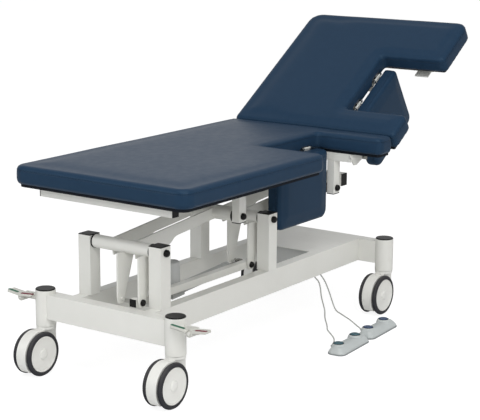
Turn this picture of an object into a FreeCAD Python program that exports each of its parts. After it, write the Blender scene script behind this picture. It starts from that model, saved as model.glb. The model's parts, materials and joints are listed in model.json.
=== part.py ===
"""Height-adjustable examination table with fold-down pads, built piece by piece.

Frame: millimetres, +X toward the head end, +Y toward the far side, +Z up.
Origin on the floor, midway between the four caster swivels.
Each named sub-part is written to parts/NAME.step at its real place, in the rest pose.
"""
import FreeCAD, Part
import math
import os

from FreeCAD import Vector

# Base frame
wheelbase = 1300.0
track = 546.0
rail_width = 40.0
rail_height = 85.0
rail_bottom = 186.0
rail_outer_y = 172.0
crossbar_width = 45.0
stem_radius = 34.0
stem_bottom = 160.0
stem_top = 282.0
stem_cap_height = 4.0
tube_wall = 3.0
cover_length = 282.0
cover_thickness = 3.0

# Base posts and lift arms
post_size = 50.0
post_top = 474.0
foot_pivot_x = -570.0
arm_spacing = 608.0
base_pivot_z = 454.0
arm_reach = 436.5
arm_rise = 40.0
arm_tube_radius = 22.0
arm_bore_radius = 12.0
running_clearance = 0.1
shaft_radius = arm_bore_radius - running_clearance
arm_plate_half_height = 20.0
arm_plate_y = 50.0
arm_plate_thickness = 6.0
arm_gusset_length = 178.0
arm_gusset_drop = 38.0
bush_width = 5.0
running_gap = 0.8
bolt_cap_height = 13.0

# Cranks, tie bar and lift actuator
crank_back = 34.4
crank_drop = 166.5
crank_end_radius = 17.0
crank_plate_thickness = 6.0
near_crank_y = -101.0
far_crank_y = -14.0
tie_bar_size = 25.0
tie_bar_y = -82.5
tie_bar_overhang = 21.0
tie_bar_wall = 2.5
crank_pin_radius = 6.0
lift_actuator_y = -48.0
lift_bracket_x = -430.0
lift_bracket_z = 262.0
actuator_tube_radius = 19.0
actuator_rod_radius = 8.0
actuator_eye_radius = 14.0
lift_tube_length = 366.0
lift_rod_length = 216.0
lift_rod_retraction = 45.0
motor_radius = 27.0
motor_height = 84.0
control_box_length = 190.0
control_box_width = 180.0
control_box_near = 118.0

# Top frame
frame_tube = 30.0
board_thickness = 10.0
hanging_post_x = 40.0
hanging_post_y = 30.0
hanging_post_drop = 20.0
inner_rail_gap = 40.0
foot_bar_x = -649.0
foot_bar_width = 544.0
cross_reach = 230.0
gusset_drop = 13.0
back_tube_x = 36.0
back_tube_z = 46.0
back_tube_top = 541.0
back_tube_gap = 12.0

# Upholstery
pad_width = 720.0
pad_thickness = 63.0
pad_top = 702.0
pad_edge_radius = 14.0
pad_bottom_radius = 6.0
seat_foot_x = -711.0
back_length = 690.0
board_inset = 15.0
hinge_reach = 70.5
hinge_depth = 14.0
hinge_half_gap = 3.8
hinge_leaf_width = 60.0
hinge_near_y = -250.0
hinge_middle_y = 100.0
hinge_far_y = 200.0
back_rest_angle = 33.0
notch_inner_y = -91.0
seat_notch_post_gap = 6.5
seat_notch_length = 366.0
back_notch_start = 128.0
back_notch_length = 318.0
back_tube_setback = 62.0

# Fold-down pads
flap_thickness = 51.0
seat_flap_foot_gap = 36.0
flap_end_gap = 5.0
flap_inner_gap = 7.0
flap_outer_y = -356.0
flap_pin_gap = 1.5
flap_pin_drop = 52.0
flap_strap_width = 40.0
flap_strap_thickness = 3.0
flap_strap_reach = 110.0
flap_knuckle_radius = 4.5
flap_pin_radius = 2.0
flap_hinge_inset = 70.0
flap_board_thickness = 6.0
flap_tab_width = 10.0
flap_tab_gap = 0.5

# Backrest drive
back_crank_radius = 125.0
back_crank_lean = 37.0
back_bracket_reach = 450.0
back_tube_length = 300.0
back_rod_length = 262.0
back_rod_retraction = 72.0

# Casters
wheel_radius = 75.0
tyre_depth = 14.0
wheel_width = 16.0
wheel_inner_y = 21.0
caster_trail = 52.0
hood_half_width = 19.5
hood_radius = 74.5
axle_radius = 5.0
collar_height = 9.0
swivel_pin_radius = 10.0

# Brake pedals
pedal_pivot_out = 79.0
pedal_z = 250.0
pedal_hub_radius = 13.0
pedal_length = 34.0
pedal_pin_radius = 6.0
pedal_pad_thickness = 8.0

# Foot switches
switch_length = 216.0
switch_width = 66.0
switch_height = 27.0
switch_angle = 3.7
switch_centres = [(160.0, -418.0), (388.0, -403.0)]
button_radius = 17.0
button_spacing = 125.0
button_travel = 3.0
cord_radius = 2.5

# Values that follow
X_AXIS = Vector(1, 0, 0)
Y_AXIS = Vector(0, 1, 0)
Z_AXIS = Vector(0, 0, 1)
rail_top = rail_bottom + rail_height
rail_inner_y = rail_outer_y - rail_width
post_y = rail_outer_y + 0.5 - post_size / 2
arm_half_width = post_y - post_size / 2 - bush_width
top_post_y = post_y
head_pivot_x = foot_pivot_x + arm_spacing
upper_pivot_z = base_pivot_z + arm_rise
board_top = pad_top - pad_thickness
frame_top = board_top - board_thickness
frame_bottom = frame_top - frame_tube
inner_rail_y = inner_rail_gap / 2
pad_half = pad_width / 2
foot_hang_x = foot_pivot_x + arm_reach
head_hang_x = foot_hang_x + arm_spacing
hinge_x = head_hang_x + hinge_reach
seat_notch_end = head_hang_x - hanging_post_x / 2 - seat_notch_post_gap
back_bracket_x = hinge_x - back_bracket_reach
hinge_z = pad_top - hinge_depth
seat_head_x = hinge_x - hinge_half_gap
back_start_x = hinge_x + hinge_half_gap
back_end_x = hinge_x + back_length
flap_pin_y = notch_inner_y - flap_pin_gap
flap_pin_z = pad_top - flap_pin_drop
back_pin_angle = back_rest_angle - back_crank_lean
lift_pin = (head_pivot_x - crank_back, base_pivot_z - crank_drop)
head_x = wheelbase / 2
caster_places = {
    "foot_near": (-head_x, -track / 2),
    "foot_far": (-head_x, track / 2),
    "head_near": (head_x, -track / 2),
    "head_far": (head_x, track / 2),
}

parts = {}


def block(x0, x1, y0, y1, z0, z1):
    """A box between two corners."""
    return Part.makeBox(x1 - x0, y1 - y0, z1 - z0, Vector(x0, y0, z0))


def rod(start, direction, radius, length):
    """A round bar from a start point along a direction."""
    return Part.makeCylinder(radius, length, Vector(*start), direction)


def rod_y(x, z, y0, y1, radius):
    """A round bar along Y between two stations."""
    return rod((x, min(y0, y1), z), Y_AXIS, radius, abs(y1 - y0))


def ring_y(x, z, y0, y1, outer, inner):
    """A round sleeve along Y."""
    return rod_y(x, z, y0, y1, outer).cut(rod_y(x, z, y0 - 1, y1 + 1, inner))


def join(shapes):
    """Weld a list of overlapping or touching solids into one."""
    result = shapes[0]
    for shape in shapes[1:]:
        result = result.fuse(shape)
    return result.removeSplitter()


def group(shapes):
    """Keep separate solids together in one node."""
    return Part.makeCompound(shapes)


def rounded_wire(corners, radii, place):
    """A closed outline of straight runs with an arc at each corner.

    corners are 2-D points in order, radii the arc at each one, and place turns a
    2-D point into a Vector.
    """
    count = len(corners)
    edges = []
    ends = []
    for index in range(count):
        before = corners[index - 1]
        here = corners[index]
        after = corners[(index + 1) % count]
        to_before = (before[0] - here[0], before[1] - here[1])
        to_after = (after[0] - here[0], after[1] - here[1])
        long_before = math.hypot(*to_before)
        long_after = math.hypot(*to_after)
        to_before = (to_before[0] / long_before, to_before[1] / long_before)
        to_after = (to_after[0] / long_after, to_after[1] / long_after)
        cosine = to_before[0] * to_after[0] + to_before[1] * to_after[1]
        half = math.acos(max(-1.0, min(1.0, cosine))) / 2
        radius = radii[index]
        if radius <= 0:
            ends.append((here, here, None))
            continue
        back = radius / math.tan(half)
        first = (here[0] + to_before[0] * back, here[1] + to_before[1] * back)
        last = (here[0] + to_after[0] * back, here[1] + to_after[1] * back)
        bisector = (to_before[0] + to_after[0], to_before[1] + to_after[1])
        size = math.hypot(*bisector)
        reach = radius / math.sin(half) - radius
        middle = (here[0] + bisector[0] / size * reach, here[1] + bisector[1] / size * reach)
        ends.append((first, last, middle))
    for index in range(count):
        first, last, middle = ends[index]
        if middle is not None:
            edges.append(Part.Arc(place(*first), place(*middle), place(*last)).toShape())
        nearby = ends[(index + 1) % count][0]
        edges.append(Part.LineSegment(place(*last), place(*nearby)).toShape())
    return Part.Wire(edges)


def plate_xy(corners, radii, z0, z1):
    """A flat plate with a rounded outline in plan."""
    wire = rounded_wire(corners, radii, lambda a, b: Vector(a, b, z0))
    return Part.Face(wire).extrude(Vector(0, 0, z1 - z0))


def plate_xz(corners, radii, y0, y1):
    """A flat plate with a rounded outline seen from the side."""
    wire = rounded_wire(corners, radii, lambda a, b: Vector(a, y0, b))
    return Part.Face(wire).extrude(Vector(0, y1 - y0, 0))


def plate_yz(corners, radii, x0, x1):
    """A flat plate with a rounded outline seen along the table."""
    wire = rounded_wire(corners, radii, lambda a, b: Vector(x0, a, b))
    return Part.Face(wire).extrude(Vector(x1 - x0, 0, 0))


def box_tube(x0, x1, y0, y1, z0, z1, axis):
    """A rectangular steel tube, open along the given axis."""
    outer = block(x0, x1, y0, y1, z0, z1)
    wall = tube_wall
    if axis == "x":
        inner = block(x0 - 1, x1 + 1, y0 + wall, y1 - wall, z0 + wall, z1 - wall)
    elif axis == "y":
        inner = block(x0 + wall, x1 - wall, y0 - 1, y1 + 1, z0 + wall, z1 - wall)
    else:
        inner = block(x0 + wall, x1 - wall, y0 + wall, y1 - wall, z0 - 1, z1 + 1)
    return outer.cut(inner)


def soften(shape, height, radius):
    """Round every edge that lies at one height."""
    edges = []
    for edge in shape.Edges:
        box = edge.BoundBox
        if abs(box.ZMin - height) < 0.01 and abs(box.ZMax - height) < 0.01:
            edges.append(edge)
    return shape.makeFillet(radius, edges)


def turned(shape, centre, axis, degrees):
    """A copy turned about an axis through a point."""
    copy = shape.copy()
    copy.rotate(Vector(*centre), axis, degrees)
    return copy


def raised(shape):
    """A backrest piece, drawn flat, turned up to its rest angle."""
    return turned(shape, (hinge_x, 0, hinge_z), Vector(0, -1, 0), back_rest_angle)


def lowered(shape, z=None):
    """A fold-down pad's piece, drawn closed, turned down to hang."""
    height = flap_pin_z if z is None else z
    return turned(shape, (0, flap_pin_y, height), X_AXIS, 90.0)


def dome_cap(x, y, z, radius, height, direction):
    """A low round plug with a softened rim."""
    cap = rod((x, y, z), direction, radius, height)
    rim = [e for e in cap.Edges if e.Curve.TypeId == "Part::GeomCircle"]
    far = max(rim, key=lambda e: e.CenterOfMass.sub(Vector(x, y, z)).Length)
    return cap.makeFillet(height * 0.6, [far])


def base_frame():
    """Rails, crossbars, caster stems, posts, covers and plugs of the base."""
    inner = head_x - crossbar_width / 2
    rails = []
    for side in (-1, 1):
        y0, y1 = sorted((side * rail_inner_y, side * rail_outer_y))
        rails.append(box_tube(-inner, inner, y0, y1, rail_bottom, rail_top, "x"))

    bars = []
    reach = track / 2
    for x in (-head_x, head_x):
        bar = box_tube(x - crossbar_width / 2, x + crossbar_width / 2, -reach, reach,
                       rail_bottom, rail_top, "y")
        for side in (-1, 1):
            bar = bar.cut(rod((x, side * reach, rail_bottom - 1), Z_AXIS, stem_radius,
                              rail_height + 2))
        bars.append(bar)
    parts["base_frame"] = group(rails + bars)

    stems = []
    caps = []
    for x, y in caster_places.values():
        stem = rod((x, y, stem_bottom), Z_AXIS, stem_radius, stem_top - stem_bottom)
        stem = stem.cut(rod((x, y, stem_bottom - 1), Z_AXIS, swivel_pin_radius + running_clearance, 42.0))
        stems.append(stem)
        caps.append(dome_cap(x, y, stem_top, stem_radius - 1.0, stem_cap_height, Z_AXIS))
    parts["caster_stems"] = group(stems)

    posts = []
    for x in (foot_pivot_x, head_pivot_x):
        for side in (-1, 1):
            y = side * post_y
            half = post_size / 2
            post = box_tube(x - half, x + half, y - half, y + half, rail_top, post_top, "z")
            post = post.cut(rod_y(x, base_pivot_z, y - half - 1, y + half + 1, shaft_radius))
            posts.append(post)
            cap = block(x - half, x + half, y - half, y + half, post_top, post_top + 3.0)
            caps.append(soften(cap, post_top + 3.0, 1.5))
            outer = side * (post_y + half)
            caps.append(dome_cap(x, outer, base_pivot_z, 12.0, bolt_cap_height, Vector(0, side, 0)))
    parts["base_posts"] = group(posts)
    parts["base_caps"] = group(caps)

    shafts = []
    end = post_y + post_size / 2
    for x in (foot_pivot_x, head_pivot_x):
        shafts.append(rod_y(x, base_pivot_z, -end, end, shaft_radius))
    parts["base_pivot_shafts"] = group(shafts)

    cover_end = inner
    cover = block(cover_end - cover_length, cover_end, -rail_inner_y, rail_inner_y,
                  rail_top - cover_thickness, rail_top)
    parts["base_cover"] = cover


def control_gear():
    """The control box under the cover and the bracket that carries the lift actuator."""
    box_start = head_x - crossbar_width / 2 - cover_length + 12.0
    bottom = rail_bottom + 8.0
    top = rail_top - cover_thickness
    box_end = box_start + control_box_length
    box_far = control_box_width - control_box_near
    box = plate_xy([(box_start, -control_box_near), (box_end, -control_box_near),
                    (box_end, box_far), (box_start, box_far)], [10.0] * 4, bottom, top)
    glands = [soften(box, bottom, 5.0)]
    for start in cord_starts:
        outer = rod((start.x, start.y, start.z), Z_AXIS, 5.5, bottom - start.z)
        glands.append(outer)
    parts["control_box"] = join(glands)

    half = 20.0
    low = rail_bottom + 4.0
    beam = box_tube(lift_bracket_x - half, lift_bracket_x + half, -rail_inner_y, rail_inner_y,
                    low, low + frame_tube, "y")
    lugs = [beam]
    for side in (-1, 1):
        inside = lift_actuator_y + side * (actuator_eye_radius - 1.0)
        outside = inside + side * 5.0
        y0, y1 = sorted((inside, outside))
        lug = plate_xz([(lift_bracket_x - 18.0, low + frame_tube), (lift_bracket_x + 18.0,
                        low + frame_tube), (lift_bracket_x + 14.0, lift_bracket_z + 14.0),
                        (lift_bracket_x - 14.0, lift_bracket_z + 14.0)],
                       [0.0, 0.0, 10.0, 10.0], y0, y1)
        lugs.append(lug)
    reach = actuator_eye_radius + 6.0
    lugs.append(rod_y(lift_bracket_x, lift_bracket_z, lift_actuator_y - reach,
                      lift_actuator_y + reach, 5.0))
    parts["lift_bracket"] = join(lugs)


def arm_side_plate(pivot_x, y0, y1):
    """One side plate of a lift arm: a slim bar with a deep gusset at its lower pivot."""
    half = arm_plate_half_height
    length = math.hypot(arm_reach, arm_rise)
    corners = [(0.0, half), (length, half), (length, -half), (arm_gusset_length + 32.0, -half),
               (arm_gusset_length, -arm_gusset_drop), (0.0, -arm_gusset_drop)]
    place_x = pivot_x
    flat = plate_xz([(place_x + a, base_pivot_z + b) for a, b in corners],
                    [0.0, 0.0, 0.0, 40.0, 8.0, 0.0], y0, y1)
    angle = math.degrees(math.atan2(arm_rise, arm_reach))
    return turned(flat, (pivot_x, 0, base_pivot_z), Vector(0, -1, 0), angle)


def lift_arm(name, pivot_x):
    """An H-shaped lift arm, its two pivot tubes, side plates, bushes and crank plates."""
    upper_x = pivot_x + arm_reach
    width = arm_half_width
    top_width = top_post_y - hanging_post_y / 2 - bush_width
    shapes = [rod_y(pivot_x, base_pivot_z, -width, width, arm_tube_radius),
              rod_y(upper_x, upper_pivot_z, -top_width, top_width, arm_tube_radius)]
    for side in (-1, 1):
        y0, y1 = sorted((side * arm_plate_y, side * (arm_plate_y - arm_plate_thickness)))
        shapes.append(arm_side_plate(pivot_x, y0, y1))
    arm = join(shapes)
    bore = arm_bore_radius
    arm = arm.cut(rod_y(pivot_x, base_pivot_z, -width - 1, width + 1, bore))
    arm = arm.cut(rod_y(upper_x, upper_pivot_z, -top_width - 1, top_width + 1, bore))
    parts[name + "_lift_arm"] = arm

    bushes = []
    for x, z, inner in ((pivot_x, base_pivot_z, width), (upper_x, upper_pivot_z, top_width)):
        for side in (-1, 1):
            y0, y1 = sorted((side * inner, side * (inner + bush_width - running_gap)))
            bushes.append(ring_y(x, z, y0, y1, arm_tube_radius + 1.5, bore))

    pin_x = pivot_x - crank_back
    pin_z = base_pivot_z - crank_drop
    r = crank_end_radius
    outline = [(pivot_x - 52.0, base_pivot_z - 12.0), (pivot_x + 34.0, base_pivot_z - 18.0),
               (pin_x + r, pin_z - 2.0), (pin_x + r - 6.0, pin_z - r), (pin_x - r + 4.0, pin_z - r),
               (pin_x - r, pin_z + 6.0)]
    radii = [10.0, 10.0, 6.0, 6.0, 6.0, 6.0]
    plates = []
    for y in (near_crank_y, far_crank_y):
        half = crank_plate_thickness / 2
        plate = plate_xz(outline, radii, y - half, y + half)
        plate = plate.cut(rod_y(pivot_x, base_pivot_z, y - half - 1, y + half + 1,
                                arm_tube_radius))
        plates.append(plate)
    gap_y = lift_actuator_y - 14.0
    stub = rod_y(pin_x, pin_z, near_crank_y, gap_y, crank_pin_radius)
    far_stub = rod_y(pin_x, pin_z, far_crank_y - 9.0, far_crank_y, crank_pin_radius)
    outside = near_crank_y - crank_plate_thickness / 2
    crank = [plates[0].fuse(stub), plates[1].fuse(far_stub)]
    parts[name + "_crank"] = group(crank)
    bushes.append(dome_cap(pin_x, outside, pin_z, 11.0, 8.0, Vector(0, -1, 0)))
    parts[name + "_arm_plastics"] = group(bushes)


def tie_bar():
    """The square bar that joins the lower ends of both cranks."""
    foot_x = foot_pivot_x - crank_back
    pin_z = base_pivot_z - crank_drop
    half = tie_bar_size / 2
    x0 = foot_x - tie_bar_overhang
    x1 = foot_x + arm_spacing + tie_bar_overhang
    bar = block(x0, x1, tie_bar_y - half, tie_bar_y + half, pin_z - half, pin_z + half)
    wall = tie_bar_wall
    plug_depth = 14.0
    hollow = block(x0 + plug_depth, x1 - plug_depth, tie_bar_y - half + wall,
                   tie_bar_y + half - wall, pin_z - half + wall, pin_z + half - wall)
    sleeves = []
    for x in (foot_x, foot_x + arm_spacing):
        sleeves.append(rod_y(x, pin_z, tie_bar_y - half, tie_bar_y + half, 9.0))
    bar = bar.cut(hollow)
    bar = join([bar] + sleeves)
    for x in (foot_x, foot_x + arm_spacing):
        bar = bar.cut(rod_y(x, pin_z, tie_bar_y - half - 1, tie_bar_y + half + 1,
                            crank_pin_radius + running_clearance))
    parts["tie_bar"] = bar
    plugs = []
    for x, out in ((x0, -1), (x1, 1)):
        a, b = sorted((x, x + out * 3.0))
        plugs.append(block(a, b, tie_bar_y - half, tie_bar_y + half, pin_z - half, pin_z + half))
    parts["tie_bar_plugs"] = group(plugs)


def along_x(shape, start, angle):
    """Place a piece drawn along +X from the origin at a start point, pitched up."""
    copy = shape.copy()
    copy.rotate(Vector(0, 0, 0), Vector(0, -1, 0), angle)
    copy.translate(Vector(*start))
    return copy


def actuator(name, start, pin, tube_length, rod_length, retraction, motor_side):
    """A linear actuator: housing with motor, and a sliding rod with its end eye.

    start is the rear pin, pin the driven one, retraction how far the rod can slide in from
    rest, motor_side is +1 for a motor above the housing and 0 for one that lies beside it.
    """
    span = math.hypot(pin[0] - start[0], pin[2] - start[2])
    angle = math.degrees(math.atan2(pin[2] - start[2], pin[0] - start[0]))
    eye = actuator_eye_radius
    half_eye = eye - 2.0
    rear = rod_y(0, 0, -half_eye, half_eye, eye)
    neck = block(0, 34.0, -half_eye, half_eye, -eye * 0.8, eye * 0.8)
    gear = block(30.0, 96.0, -actuator_tube_radius, actuator_tube_radius,
                 -actuator_tube_radius, actuator_tube_radius)
    tube = rod((90.0, 0, 0), X_AXIS, actuator_tube_radius, tube_length - 90.0)
    collar = rod((tube_length - 14.0, 0, 0), X_AXIS, actuator_tube_radius + 1.5, 14.0)
    body = join([rear, neck, gear, tube, collar])
    body = body.cut(rod_y(0, 0, -half_eye - 1, half_eye + 1, 5.0 + running_clearance))
    bore_start = span - rod_length - retraction
    body = body.cut(rod((bore_start, 0, 0), X_AXIS, actuator_rod_radius + 0.5,
                        tube_length - bore_start + 1))
    gear_top = actuator_tube_radius
    if motor_side:
        motor = rod((63.0, 6.0, gear_top - 4.0), Z_AXIS, motor_radius, motor_height + 4.0)
        motor = dome_edges(motor, gear_top + motor_height, 6.0)
    else:
        motor = rod((63.0, gear_top - 4.0, 0), Y_AXIS, gear_top, 64.0)
    parts[name + "_housing"] = along_x(join([body, motor]), start, angle)

    slider = rod((span - rod_length, 0, 0), X_AXIS, actuator_rod_radius, rod_length - eye + 3.0)
    end = ring_y(span, 0, -half_eye, half_eye, eye, crank_pin_radius + 0.5)
    slider = join([slider, end])
    slider = slider.cut(rod_y(span, 0, -half_eye - 1, half_eye + 1, crank_pin_radius + 0.5))
    parts[name + "_rod"] = along_x(slider, start, angle)


def dome_edges(shape, height, radius):
    """Round the circular edge of an upright cylinder at one height."""
    return soften(shape, height, radius)


def top_frame():
    """Rails, cross tubes and brackets that carry the seat, and its hanging posts."""
    z0 = frame_bottom
    z1 = frame_top
    half = frame_tube / 2
    far = frame_tube + inner_rail_y
    end_x = seat_head_x - 4.0
    shapes = []
    for side in (-1, 1):
        y0, y1 = sorted((side * inner_rail_y, side * far))
        shapes.append(block(foot_bar_x, end_x, y0, y1, z0, z1))
    cross_reaches = ((foot_bar_x, foot_bar_width / 2), (-400.0, cross_reach),
                     (foot_hang_x, top_post_y + hanging_post_y / 2), (back_bracket_x, far),
                     (head_hang_x, cross_reach), (end_x - half, cross_reach))
    for x, reach in cross_reaches:
        shapes.append(block(x - half, x + half, -reach, reach, z0, z1))
    gusset_end = head_hang_x + half
    gusset = [(head_hang_x - half - 12.0, z1 - 2.0), (end_x, z1 - 2.0), (end_x, z0 + 5.0),
              (gusset_end + 8.0, z0 - gusset_drop), (gusset_end - 12.0, z0 - gusset_drop)]
    shapes.append(plate_xz(gusset, [0.0, 0.0, 3.0, 3.0, 3.0], -cross_reach - 4.0, -cross_reach))
    back_x = head_hang_x + hanging_post_x / 2 + back_tube_gap
    reach = top_post_y + hanging_post_y / 2
    for side in (-1, 1):
        y0, y1 = sorted((side * inner_rail_y, side * far))
        hanger = block(back_x, back_x + 8.0, y0, y1, back_tube_top - 6.0, z0 + 2.0)
        shapes.append(hanger)
    shapes.append(block(back_x, back_x + back_tube_x, -reach, reach,
                        back_tube_top - back_tube_z, back_tube_top))
    lug_inner = actuator_eye_radius - 1.0
    for side in (-1, 1):
        y0, y1 = sorted((side * lug_inner, side * (lug_inner + 5.0)))
        axis_z = back_pin_rest()[1]
        lug = plate_xz([(back_bracket_x - 15.0, z0 + 4.0), (back_bracket_x + 15.0, z0 + 4.0),
                        (back_bracket_x + 12.0, axis_z - 12.0),
                        (back_bracket_x - 12.0, axis_z - 12.0)], [0.0, 0.0, 9.0, 9.0], y0, y1)
        shapes.append(lug)
    shapes.append(rod_y(back_bracket_x, back_pin_rest()[1], -lug_inner - 6.0, lug_inner + 6.0,
                        5.0))
    parts["top_frame"] = join(shapes)

    posts = []
    caps = []
    shafts = []
    for x in (foot_hang_x, head_hang_x):
        for side in (-1, 1):
            y = side * top_post_y
            hx = hanging_post_x / 2
            hy = hanging_post_y / 2
            bottom = upper_pivot_z - hanging_post_drop
            post = box_tube(x - hx, x + hx, y - hy, y + hy, bottom, z0, "z")
            post = post.cut(rod_y(x, upper_pivot_z, y - hy - 1, y + hy + 1, shaft_radius))
            posts.append(post)
            caps.append(block(x - hx, x + hx, y - hy, y + hy, bottom - 3.0, bottom))
            outer = side * (top_post_y + hy)
            caps.append(dome_cap(x, outer, upper_pivot_z, 11.5, bolt_cap_height, Vector(0, side, 0)))
        end = top_post_y + hanging_post_y / 2
        shafts.append(rod_y(x, upper_pivot_z, -end, end, shaft_radius))
    for side in (-1, 1):
        y0, y1 = sorted((side * reach, side * (reach + 3.0)))
        caps.append(block(back_x, back_x + back_tube_x, y0, y1, back_tube_top - back_tube_z,
                          back_tube_top))
        foot_end = foot_bar_width / 2
        y0, y1 = sorted((side * foot_end, side * (foot_end + 3.0)))
        caps.append(block(foot_bar_x - half, foot_bar_x + half, y0, y1, z0, z1))
    parts["hanging_posts"] = group(posts)
    parts["top_caps"] = group(caps)
    parts["top_pivot_shafts"] = group(shafts)


def back_pin_rest():
    """The driven pin of the backrest, in the rest pose."""
    angle = math.radians(back_pin_angle)
    return (hinge_x + back_crank_radius * math.sin(angle),
            hinge_z - back_crank_radius * math.cos(angle))


def notched_outline(x0, x1, notch0, notch1, inset=0.0, notch_y=notch_inner_y):
    """The plan of a cushion or board with a notch in its near side."""
    low = -pad_half + inset
    high = pad_half - inset
    return [(x0 + inset, high), (x0 + inset, low), (notch0 - inset, low),
            (notch0 - inset, notch_y), (notch1 + inset, notch_y), (notch1 + inset, low),
            (x1 - inset, low), (x1 - inset, high)]


def cushion(outline, radii):
    """A padded slab with softened top and bottom edges."""
    slab = plate_xy(outline, radii, board_top, pad_top)
    slab = soften(slab, pad_top, pad_edge_radius)
    return soften(slab, board_top, pad_bottom_radius)


def flap(a, b):
    """A fold-down pad and its board with two strap hinges, drawn closed."""
    inner = notch_inner_y - flap_inner_gap
    under = pad_top - flap_thickness
    pad = plate_xy([(a, inner), (a, flap_outer_y), (b, flap_outer_y), (b, inner)],
                   [16.0, 34.0, 34.0, 16.0], under, pad_top)
    pad = soften(pad, pad_top, pad_edge_radius)
    pad = soften(pad, under, pad_bottom_radius)
    inset = board_inset
    start = inner - 4 * inset
    bottom = under - flap_board_thickness
    board = plate_xy([(a + inset, start), (a + inset, flap_outer_y + inset),
                      (b - inset, flap_outer_y + inset), (b - inset, start)],
                     [12.0, 24.0, 24.0, 12.0], bottom, under)
    shapes = [board]
    strap = flap_strap_width / 2
    hinge_places = (a + flap_hinge_inset, b - flap_hinge_inset)
    for x in hinge_places:
        leaf = block(x - strap, x + strap, inner - flap_strap_reach, flap_pin_y,
                     under - flap_strap_thickness, under)
        knuckle = rod((x - strap, flap_pin_y, flap_pin_z), X_AXIS, flap_knuckle_radius,
                      flap_strap_width)
        shapes += [leaf, knuckle]
    board = join(shapes)
    for x in hinge_places:
        board = board.cut(rod((x - strap - 1, flap_pin_y, flap_pin_z), X_AXIS,
                              flap_pin_radius + running_clearance, flap_strap_width + 2))
    return pad, board


def flap_brackets(a, b):
    """The fixed halves of a pad's two hinges, carried by the inner rail."""
    rail_y = -inner_rail_y - frame_tube
    reach = flap_strap_width / 2 + flap_tab_gap
    r = flap_knuckle_radius
    low = frame_bottom + 4.0
    brackets = []
    for x in (a + flap_hinge_inset, b - flap_hinge_inset):
        shapes = []
        for side in (-1, 1):
            u, v = sorted((x + side * reach, x + side * (reach + flap_tab_width)))
            corners = [(rail_y, low), (rail_y, frame_top - 1.0),
                       (flap_pin_y + r + 6.0, frame_top - 1.0), (flap_pin_y + r, flap_pin_z + r),
                       (flap_pin_y - r, flap_pin_z + r), (flap_pin_y - r, flap_pin_z - r),
                       (flap_pin_y + 1.0, flap_pin_z - r - 6.0), (rail_y - 14.0, low)]
            shapes.append(plate_yz(corners, [0.0, 0.0, 4.0, 4.0, 4.0, 4.0, 4.0, 4.0], u, v))
        width = reach + flap_tab_width
        shapes.append(rod((x - width, flap_pin_y, flap_pin_z), X_AXIS, flap_pin_radius, 2 * width))
        shapes.append(block(x - width, x + width, rail_y - 3.0, rail_y, low, frame_top - 4.0))
        brackets.append(join(shapes))
    return brackets


def hinge_pockets(shape, a, b):
    """Recesses in a cushion's notch wall for the hinges of a pad."""
    width = flap_strap_width / 2 + flap_tab_gap + flap_tab_width + 2.0
    top = flap_pin_z + flap_knuckle_radius + 2.0
    for x in (a + flap_hinge_inset, b - flap_hinge_inset):
        pocket = block(x - width, x + width, notch_inner_y - 5.0, notch_inner_y + 15.0,
                       board_top - 5.0, top)
        shape = shape.cut(pocket)
    return shape


def seat():
    """Seat board, cushion, fold-down pad and their hinges."""
    notch1 = seat_notch_end
    notch0 = notch1 - seat_notch_length
    outline = notched_outline(seat_foot_x, seat_head_x, notch0, notch1)
    radii = [45.0, 45.0, 24.0, 12.0, 12.0, 24.0, 16.0, 16.0]
    flap_start = notch0 + seat_flap_foot_gap
    flap_end = notch1 - flap_end_gap
    parts["seat_cushion"] = hinge_pockets(cushion(outline, radii), flap_start, flap_end)
    board = notched_outline(seat_foot_x, seat_head_x + board_inset - 4.0, notch0, notch1,
                            board_inset, -inner_rail_y - frame_tube - 6.0)
    parts["seat_board"] = plate_xy(board, [30.0, 30.0, 8.0, 4.0, 4.0, 8.0, 4.0, 4.0],
                                   frame_top, board_top)
    pad, flap_board = flap(flap_start, flap_end)
    parts["seat_flap_pad"] = lowered(pad)
    parts["seat_flap_board"] = lowered(flap_board)
    parts["seat_flap_brackets"] = group(flap_brackets(flap_start, flap_end))


def backrest_hinge():
    """Slim upright hinge leaves in the crease, fixed to the seat and to the backrest."""
    leaf = hinge_half_gap - 0.9
    r = hinge_half_gap - 0.4
    fixed = []
    moving = []
    low = frame_bottom + 2.0
    third = hinge_leaf_width / 3
    for y in (hinge_near_y, hinge_middle_y, hinge_far_y):
        base = block(hinge_x - leaf - 0.5, hinge_x - 0.5, y, y + hinge_leaf_width, low, hinge_z)
        base = base.fuse(rod((hinge_x, y, hinge_z), Y_AXIS, r, hinge_leaf_width))
        clear = block(hinge_x - leaf - 1, hinge_x + r + 1, y + third - 0.3, y + 2 * third + 0.3,
                      hinge_z - r - 1.0, hinge_z + r + 1)
        base = base.cut(clear)
        pin = rod((hinge_x, y, hinge_z), Y_AXIS, 1.5, hinge_leaf_width)
        fixed.append(base.fuse(pin))
        swing = block(hinge_x + 0.5, hinge_x + 0.5 + leaf, y + third, y + 2 * third, low, hinge_z)
        knuckle = rod((hinge_x, y + third, hinge_z), Y_AXIS, r, third)
        swing = swing.fuse(knuckle)
        swing = swing.cut(rod((hinge_x, y + third - 1, hinge_z), Y_AXIS, 1.8, third + 2))
        moving.append(swing)
    return fixed, moving


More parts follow.
